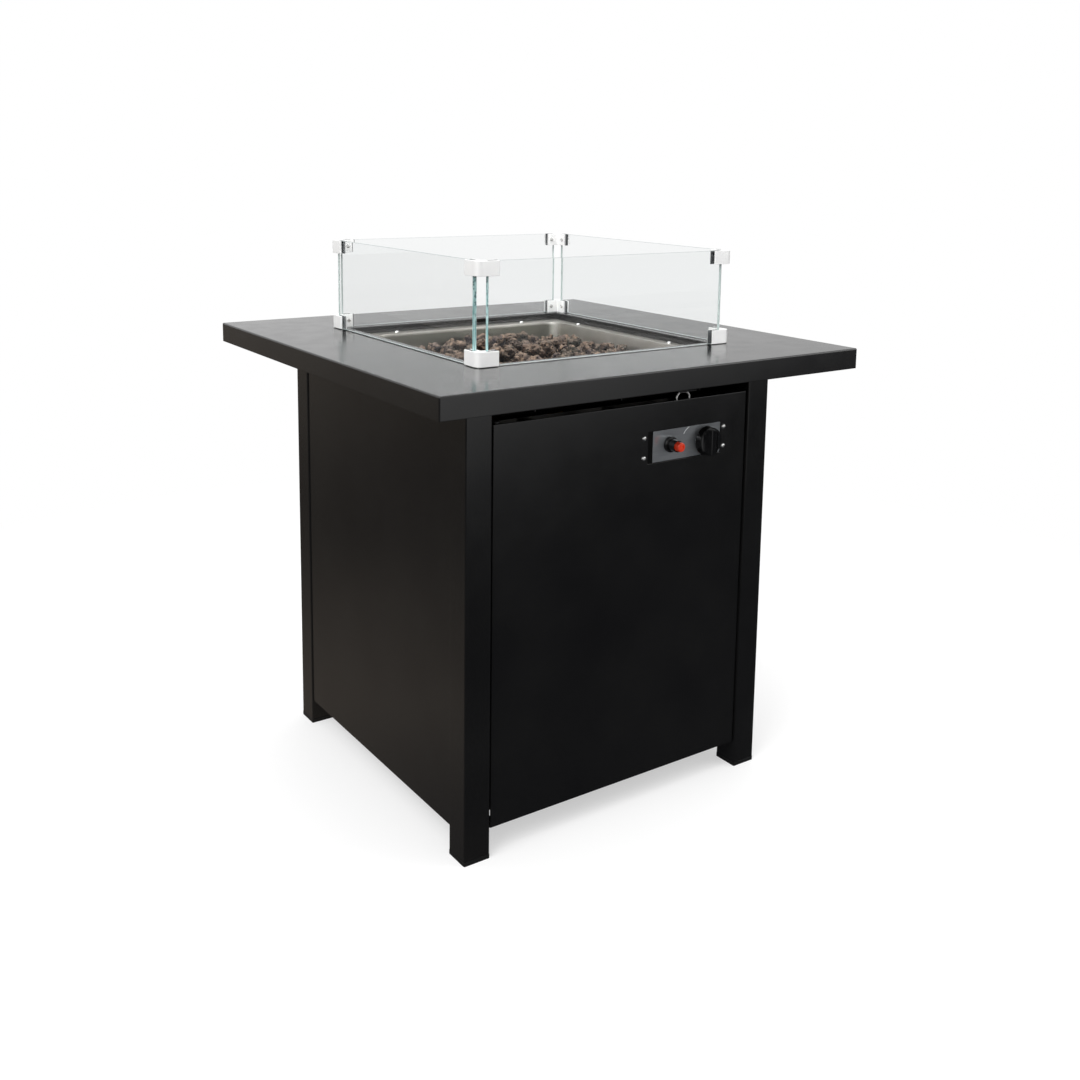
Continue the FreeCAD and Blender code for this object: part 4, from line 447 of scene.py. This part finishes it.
bright, tree = new_material("bright_screw")
coat(
    tree,
    Base_Color=mixed(tree, spread(tree, grain(tree, 0.002), 0, 1), "c4c4c4", "dcdcda"),
    Metallic=1.0,
    Roughness=spread(tree, grain(tree, 0.0015), 0.16, 0.28),
    Normal=bumped(tree, grain(tree, 0.0004), 0.00001, 0.3),
)
door_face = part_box("door_panel")[0][1]
control_columns, control_rows, control_grip = (0.029, 0.1795), (0.549, 0.52), 0.0064
seats = [((x, door_face, z), (0, -1, 0)) for x in control_columns for z in control_rows]
place(
    screws("domed_control_screws", domed_screw(control_grip), seats),
    "door", bright, "zinc_plated_steel", "control_screws",
)
half_pitch, flange_line, flange_top, pan_grip = 0.12, 0.191, 0.654, 0.0065
seats = []
for along in (-half_pitch, half_pitch):
    for across in (-flange_line, flange_line):
        seats += [((along, across, flange_top), (0, 0, 1)), ((across, along, flange_top), (0, 0, 1))]
place(
    screws("domed_pan_screws", domed_screw(pan_grip), seats),
    "cabinet", bright, "zinc_plated_steel", "pan_screws",
)


# Burner pan: drawn from stainless sheet with a fine brushed grain, bright on its flange. Faces that
# point outwards are painted darker as painted shade, and below the flange the faces that look to the
# front are painted darker as painted shade, most strongly on the bowl's rear wall.
def streaks(tree, across, along, axis):
    """Noise drawn out along one axis: the brush marks' width and length in metres."""
    scale = [1 / across] * 3
    scale[axis] = 1 / along
    drawn_out = add(tree, "ShaderNodeMapping", {"Vector": object_place(tree), "Scale": scale})
    return add(tree, "ShaderNodeTexNoise", {
        "Vector": drawn_out.outputs[0], "Scale": 1.0, "Detail": 3.0,
    }).outputs["Fac"]


stainless, tree = new_material("brushed_stainless")
brush = streaks(tree, 0.0008, 0.03, 0)
painted_shade_heights = (0.649, 0.6535)
radial = add(tree, "ShaderNodeVectorMath", {0: object_place(tree), 1: (1, 1, 0)}, operation="MULTIPLY")
normal = add(tree, "ShaderNodeTexCoord").outputs["Normal"]
outwards = add(tree, "ShaderNodeVectorMath", {
    0: radial.outputs[0], 1: normal,
}, operation="DOT_PRODUCT").outputs["Value"]
# Faces that point outwards from the pan's middle are painted a darker grey: painted shade.
painted_shade_outward = spread(tree, outwards, 0, 1, 0.01, 0.02)
height = add(tree, "ShaderNodeSeparateXYZ", {"Vector": object_place(tree)}).outputs["Z"]
facing = add(tree, "ShaderNodeSeparateXYZ", {"Vector": normal}).outputs["Y"]
# Below the flange, faces that look to the front are painted a darker olive grey: painted shade,
# strongest on the bowl's rear wall.
painted_shade_facing_front = add(tree, "ShaderNodeMath", {
    0: spread(tree, height, 1, 0, *painted_shade_heights), 1: spread(tree, facing, 1, 0.15, -0.8, -0.2),
}, operation="MULTIPLY").outputs[0]
unshaded_steel = mixed(tree, spread(tree, grain(tree, 0.05, 3), 0, 1), "bdb8b0", "cfccc6")
steel = mixed(tree, painted_shade_facing_front, unshaded_steel, "66655d")
coat(
    tree,
    Base_Color=mixed(tree, painted_shade_outward, steel, "4b4a47"),
    Metallic=1.0,
    Roughness=spread(tree, brush, 0.3, 0.42),
    Normal=bumped(tree, brush, 0.00002, 0.25),
)
wear(stainless, "burner_pan", "burner", "air_mixer", "electrode_shield", "thermocouple")


# Gas train under the pan and behind the door: fittings turned from brass, a die-cast valve with a
# dull grainy skin, and the spark electrode's glazed white ceramic.
brass, tree = new_material("turned_brass")
coat(
    tree,
    Base_Color=mixed(tree, spread(tree, grain(tree, 0.008), 0, 1), "b08a4a", "c9a765"),
    Metallic=1.0,
    Roughness=spread(tree, grain(tree, 0.0012), 0.22, 0.36),
    Normal=bumped(tree, grain(tree, 0.0005), 0.00002, 0.3),
)
wear(brass, "inlet_elbow", "gas_orifice", "valve_inlet_fitting", "valve_outlet_fitting")

casting, tree = new_material("die_cast_valve")
coat(
    tree,
    Base_Color=mixed(tree, spread(tree, grain(tree, 0.01, 4), 0, 1), "8c8d8e", "a5a6a6"),
    Metallic=1.0,
    Roughness=spread(tree, grain(tree, 0.003), 0.45, 0.6),
    Normal=bumped(tree, grain(tree, 0.0009), 0.00006, 0.5),
)
wear(casting, "gas_valve")

ceramic, tree = new_material("electrode_ceramic")
coat(
    tree,
    Base_Color=mixed(tree, spread(tree, grain(tree, 0.01), 0, 1), "d9d4ca", "ece9e2"),
    Roughness=spread(tree, grain(tree, 0.002), 0.25, 0.4),
    Normal=bumped(tree, grain(tree, 0.0007), 0.00002, 0.3),
)
wear(ceramic, "spark_electrode")


# Lava rocks: porous basalt lumps, brown, purple-grey, grey-green and tan, each broken to its own rough
# shape and riddled with small holes. Their upward faces carry painted light, and their holes painted
# shade.
def rough_rocks():
    """The rocks broken up: shards, lumps, nubs, grit and pores are those forms' sizes in metres."""
    shard, lump, nub, grit, pore, millimetre = 0.021, 0.017, 0.008, 0.0036, 0.0072, 0.001
    form = bmesh.new()
    form.from_mesh(nodes["lava_rocks"].data)
    bmesh.ops.remove_doubles(form, verts=form.verts, dist=same_point)
    bmesh.ops.triangulate(form, faces=form.faces)
    bmesh.ops.subdivide_edges(form, edges=form.edges, cuts=4, use_grid_fill=True)
    bmesh.ops.triangulate(form, faces=form.faces)
    bmesh.ops.smooth_vert(
        form, verts=form.verts, factor=0.5, use_axis_x=True, use_axis_y=True, use_axis_z=True,
    )
    form.normal_update()
    tint = form.verts.layers.float.new("tint")
    chance = random.Random(11)
    visited = set()
    for first in form.verts:
        if first in visited:
            continue
        shade = chance.random()
        front = [first]
        visited.add(first)
        while front:
            corner = front.pop()
            corner[tint] = shade
            for edge in corner.link_edges:
                other = edge.other_vert(corner)
                if other not in visited:
                    visited.add(other)
                    front.append(other)
    for corner in form.verts:
        spot = corner.co + Vector((corner[tint], corner[tint], 0))
        near, next_near = noise.voronoi(spot / shard)[0][:2]
        swell = 3.4 * min(1.0, 2.6 * (next_near - near)) - 2.4
        swell += 4.0 * noise.noise(spot / lump) + 2.2 * noise.noise(spot / nub + Vector((7, 0, 0)))
        swell += 2.4 * noise.noise(spot / grit)
        pit = max(0.0, 0.36 - noise.voronoi(spot / pore)[0][0]) * 7
        corner.co += corner.normal * min(2.6, swell - pit) * millimetre
    mesh = bpy.data.meshes.new("rough_rocks")
    form.to_mesh(mesh)
    form.free()
    return new_piece("rough_rocks", mesh, 60)


lava, tree = new_material("porous_lava")
tint = add(tree, "ShaderNodeAttribute", attribute_name="tint").outputs["Fac"]
pits_and_painted_pit_shade = add(tree, "ShaderNodeTexVoronoi", {
    "Vector": object_place(tree), "Scale": 1 / 0.0052, "Randomness": 1.0,
}).outputs["Distance"]
pits_and_painted_pit_shade = spread(tree, pits_and_painted_pit_shade, 0, 1, 0.1, 0.42)
fine = grain(tree, 0.003, 4)
earth = mixed(tree, spread(tree, tint, 0, 1, 0.0, 0.5), "251b16", "43332a")
stone = mixed(tree, spread(tree, tint, 0, 1, 0.5, 0.62), earth, "332d31")
stone = mixed(tree, spread(tree, tint, 0, 1, 0.78, 0.82), stone, "3e3c37")
stone = mixed(tree, spread(tree, grain(tree, 0.011, 3), 0, 0.95, 0.5, 0.64), stone, "8a7361")
stone = mixed(tree, spread(tree, grain(tree, 0.006, 4), 0.9, 0, 0.34, 0.5), stone, "120e0c")
rock_normal = add(tree, "ShaderNodeNewGeometry").outputs["Normal"]
painted_light_upward = add(tree, "ShaderNodeSeparateXYZ", {"Vector": rock_normal}).outputs["Z"]
# Upward faces are painted a lighter tan: painted light from above.
stone = mixed(tree, spread(tree, painted_light_upward, 0, 0.42, 0.35, 1), stone, "a08c7c")
# The pores are painted near-black: painted shade in the holes, which also shape the bump.
stone = mixed(tree, pits_and_painted_pit_shade, "0e0a08", stone)
relief = add(tree, "ShaderNodeMath", {0: pits_and_painted_pit_shade, 1: fine}, operation="ADD").outputs[0]
coat(
    tree,
    Base_Color=stone,
    Roughness=spread(tree, fine, 0.8, 0.98),
    IOR=1.4,
    Normal=bumped(tree, relief, 0.003, 1.0),
)
place(rough_rocks(), "cabinet", lava, "lava_rock", "lava_rocks")


# Door catch: a length of bright spring wire, drawn smooth and bent to an arch. It stands over the
# door's top edge, and its crest bears on the strike plate under the table top.
wire, tree = new_material("bright_spring_wire")
coat(
    tree,
    Base_Color=mixed(tree, spread(tree, grain(tree, 0.004), 0, 1), "efeeec", "f9f9f8"),
    Metallic=0.7,
    Roughness=spread(tree, grain(tree, 0.002), 0.15, 0.25),
    Normal=bumped(tree, streaks(tree, 0.0003, 0.006, 2), 0.00001, 0.3),
)
wear(wire, "door_catch")


# Control tray and faceplate: a black coated pressing, and on it a satin plate brushed along its
# length, with a short printed arc round the knob.
tray, tree = new_material("coated_tray")
coat(
    tree,
    Base_Color=mixed(tree, spread(tree, grain(tree, 0.02), 0, 1), "040404", "070707"),
    Roughness=spread(tree, grain(tree, 0.01), 0.3, 0.4),
    IOR=1.2,
    Normal=bumped(tree, grain(tree, 0.0024), 0.00004, 0.4),
)
wear(tray, "control_tray")

satin, tree = new_material("satin_faceplate")
brush = streaks(tree, 0.0004, 0.02, 0)
coat(
    tree,
    Base_Color=mixed(tree, spread(tree, brush, 0, 1), "9a9ea2", "aeb1b4"),
    Metallic=0.55,
    Roughness=spread(tree, brush, 0.1, 0.16),
    Normal=bumped(tree, brush, 0.00001, 0.3),
)
place(rounded("control_faceplate", 0.0002), "door", satin, "satin_faceplate", "control_faceplate")

plate_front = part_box("control_faceplate")[0][1]
knob_x, knob_z = 0.1227, 0.5362
arc_radii = (0.0212, 0.0222)
ink_depths = (plate_front - 0.00012, plate_front - 0.00002)
arc_start, arc_sweep, arc_steps = 114, 37, 16
arc = bmesh.new()
for step in range(arc_steps + 1):
    angle = math.radians(arc_start + arc_sweep * step / arc_steps)
    for radius in arc_radii:
        for depth in ink_depths:
            arc.verts.new((knob_x + radius * math.cos(angle), depth, knob_z + radius * math.sin(angle)))
arc.verts.ensure_lookup_table()
for step in range(arc_steps):
    here, there = 4 * step, 4 * step + 4
    for one, other in ((0, 2), (2, 3), (3, 1), (1, 0)):
        ring = (here + one, here + other, there + other, there + one)
        arc.faces.new([arc.verts[i] for i in ring])
for end in (0, 4 * arc_steps):
    arc.faces.new([arc.verts[end + i] for i in (0, 1, 3, 2)])
bmesh.ops.recalc_face_normals(arc, faces=arc.faces)
mesh = bpy.data.meshes.new("dial_arc")
arc.to_mesh(mesh)
ink, tree = new_material("white_print")
coat(
    tree,
    Base_Color=mixed(tree, spread(tree, grain(tree, 0.001), 0, 1), "e4e8ea", "fafcfc"),
    Roughness=spread(tree, grain(tree, 0.002), 0.4, 0.55),
    Normal=bumped(tree, grain(tree, 0.0004), 0.00001, 0.3),
)
place(new_piece("dial_arc", mesh), "door", ink, "satin_faceplate")


# Igniter: a collar of glossy black moulded plastic in the faceplate, and in it a push button of
# red-orange plastic, which lets a little light into its skin.
gloss, tree = new_material("gloss_black_plastic")
coat(
    tree,
    Base_Color=mixed(tree, spread(tree, grain(tree, 0.008), 0, 1), "0c0c0d", "151516"),
    Roughness=spread(tree, grain(tree, 0.012), 0.07, 0.1),
    Normal=bumped(tree, grain(tree, 0.0009), 0.00001, 0.1),
)
place(rounded("igniter_collar", 0.0004), "door", gloss, "black_plastic", "igniter_collar")

red, tree = new_material("red_plastic")
coat(
    tree,
    Base_Color=mixed(tree, spread(tree, grain(tree, 0.004), 0, 1), "e03214", "f04a28"),
    Roughness=spread(tree, grain(tree, 0.003), 0.25, 0.36),
    Subsurface_Weight=0.1,
    Subsurface_Radius=(0.004, 0.0008, 0.0004),
    Normal=bumped(tree, grain(tree, 0.001), 0.00002, 0.3),
)
place(rounded("igniter_button", 0.0005), "button", red, "red_plastic", "igniter_button")


# Gas knob: one moulding of the same glossy black plastic, a round skirt with a smooth grip bar across
# it. It is pushed onto the valve's stem.
place(rounded("control_knob", 0.0007, 35), "knob", gloss, "black_plastic", "control_knob")


# Wind guard: four tempered glass panes with ground edges, in satin aluminium clamps with grey
# rubber liners, socket screws and pale silicone soles.
def glass(name, axis):
    """Clear glass whose big faces are square to the axis. Its ground edges are pale grey, painted
    darker on the top edges as painted shade, and painted sea green as painted light at the corner that
    the light comes through."""
    material, tree = new_material(name)
    lit_corner = (-0.2, -0.2, 0.735)
    normal = add(tree, "ShaderNodeTexCoord").outputs["Normal"]
    facing = add(tree, "ShaderNodeSeparateXYZ", {"Vector": normal}).outputs
    squareness = add(tree, "ShaderNodeMath", {0: facing[axis]}, operation="ABSOLUTE").outputs[0]
    edge = spread(tree, squareness, 1, 0, 0.4, 0.6)
    pane = add(tree, "ShaderNodeBsdfPrincipled", {
        "Base Color": mixed(tree, grain(tree, 0.2), "f5f6f6", "f7f8f8"),
        "Transmission Weight": 1.0,
        "Roughness": 0.0,
        "IOR": 1.25,
        "Normal": bumped(tree, grain(tree, 0.15), 0.00002, 0.05),
    })
    clear = add(tree, "ShaderNodeBsdfTransparent", {"Color": (0.95, 0.97, 0.96, 1)})
    shadow = add(tree, "ShaderNodeLightPath").outputs["Is Shadow Ray"]
    pane = add(tree, "ShaderNodeMixShader", {0: shadow, 1: pane.outputs[0], 2: clear.outputs[0]})
    corner = add(tree, "ShaderNodeVectorMath", {
        0: object_place(tree), 1: lit_corner,
    }, operation="DISTANCE").outputs["Value"]
    ground = spread(tree, streaks(tree, 0.0012, 0.03, 2), 0, 1, 0.4, 0.6)
    height = add(tree, "ShaderNodeSeparateXYZ", {"Vector": object_place(tree)}).outputs["Z"]
    specks = add(tree, "ShaderNodeMath", {
        0: spread(tree, height, 0, 0.75, 0.7, 0.75),
        1: spread(tree, grain(tree, 0.004, 3), 0, 1, 0.54, 0.58),
    }, operation="MULTIPLY").outputs[0]
    green = mixed(tree, specks, mixed(tree, ground, "5b9795", "cfe9e9"), "2f4a4e")
    frost = spread(tree, grain(tree, 0.012, 3), 0, 1)
    flatness = add(tree, "ShaderNodeMath", {0: facing["Z"]}, operation="ABSOLUTE").outputs[0]
    pale_upright = mixed(tree, frost, "a3b1af", "c0cbc9")
    # The top edges are painted darker than the upright ones: painted shade.
    painted_shade_top_edge = mixed(tree, frost, "7b8584", "98a1a0")
    # Near the lit corner the upright edges are painted sea green: painted light coming through the
    # glass.
    upright = mixed(tree, spread(tree, corner, 0, 1, 0.07, 0.12), green, pale_upright)
    rim = add(tree, "ShaderNodeBsdfPrincipled", {
        "Base Color": mixed(tree, spread(tree, flatness, 0, 1), upright, painted_shade_top_edge),
        "Roughness": spread(tree, grain(tree, 0.003), 0.3, 0.45),
        "Normal": bumped(tree, grain(tree, 0.001), 0.00002, 0.4),
    })
    both = add(tree, "ShaderNodeMixShader", {0: edge, 1: pane.outputs[0], 2: rim.outputs[0]})
    add(tree, "ShaderNodeOutputMaterial", {"Surface": both.outputs[0]})
    return material


wear(glass("clear_glass_across", "Y"), "glass_front", "glass_rear")
wear(glass("clear_glass_along", "X"), "glass_left", "glass_right")

satin_clamp, tree = new_material("bead_blasted_aluminium")
coat(
    tree,
    Base_Color=mixed(tree, spread(tree, grain(tree, 0.01), 0, 1), "fafafa", "fdfdfc"),
    Metallic=0.3,
    Roughness=spread(tree, grain(tree, 0.004), 0.3, 0.4),
    Normal=bumped(tree, grain(tree, 0.0006), 0.00002, 0.3),
)
for tier in ("upper", "lower"):
    for corner in ("front_left", "front_right", "rear_left", "rear_right"):
        name = f"clamp_{tier}_{corner}"
        place(rounded(name, 0.0005), "wind_guard", satin_clamp, "polished_aluminium", name)

for name, dark, light, piece in (
    ("grey_rubber", "4c4e50", "626466", "clamp_pads"),
    ("pale_silicone", "bfc0bf", "d2d3d2", "guard_feet"),
):
    rubber, tree = new_material(name)
    coat(
        tree,
        Base_Color=mixed(tree, spread(tree, grain(tree, 0.01), 0, 1), dark, light),
        Roughness=spread(tree, grain(tree, 0.004), 0.5, 0.65),
        IOR=1.4,
        Normal=bumped(tree, grain(tree, 0.001), 0.00005, 0.4),
    )
    wear(rubber, piece)

head = [
    (0, 0.0012), (0.0024, 0.0012), (0.003, 0.0008), (0.0032, 0), (0.0015, 0), (0.0015, -0.003),
    (0, -0.003),
]
socket = turned([(0, 0.003), (0.0015, 0.003), (0.0015, 0.0003), (0, 0.0003)], 6)
guard_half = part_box("clamp_lower_front_right")[1][0]
screw_from_end, head_from_outside, screw_heights = 0.027, 0.014, (0.676, 0.795)
along, inner = guard_half - screw_from_end, guard_half - head_from_outside
seats = []
for height in screw_heights:
    for side_x in (-1, 1):
        for side_y in (-1, 1):
            seats.append(((side_x * along, side_y * inner, height), (0, -side_y, 0)))
            seats.append(((side_x * inner, side_y * along, height), (-side_x, 0, 0)))
place(
    screws("socket_clamp_screws", cut(turned(head, 24), socket), seats),
    "wind_guard", bright, "zinc_plated_steel", "clamp_screws",
)
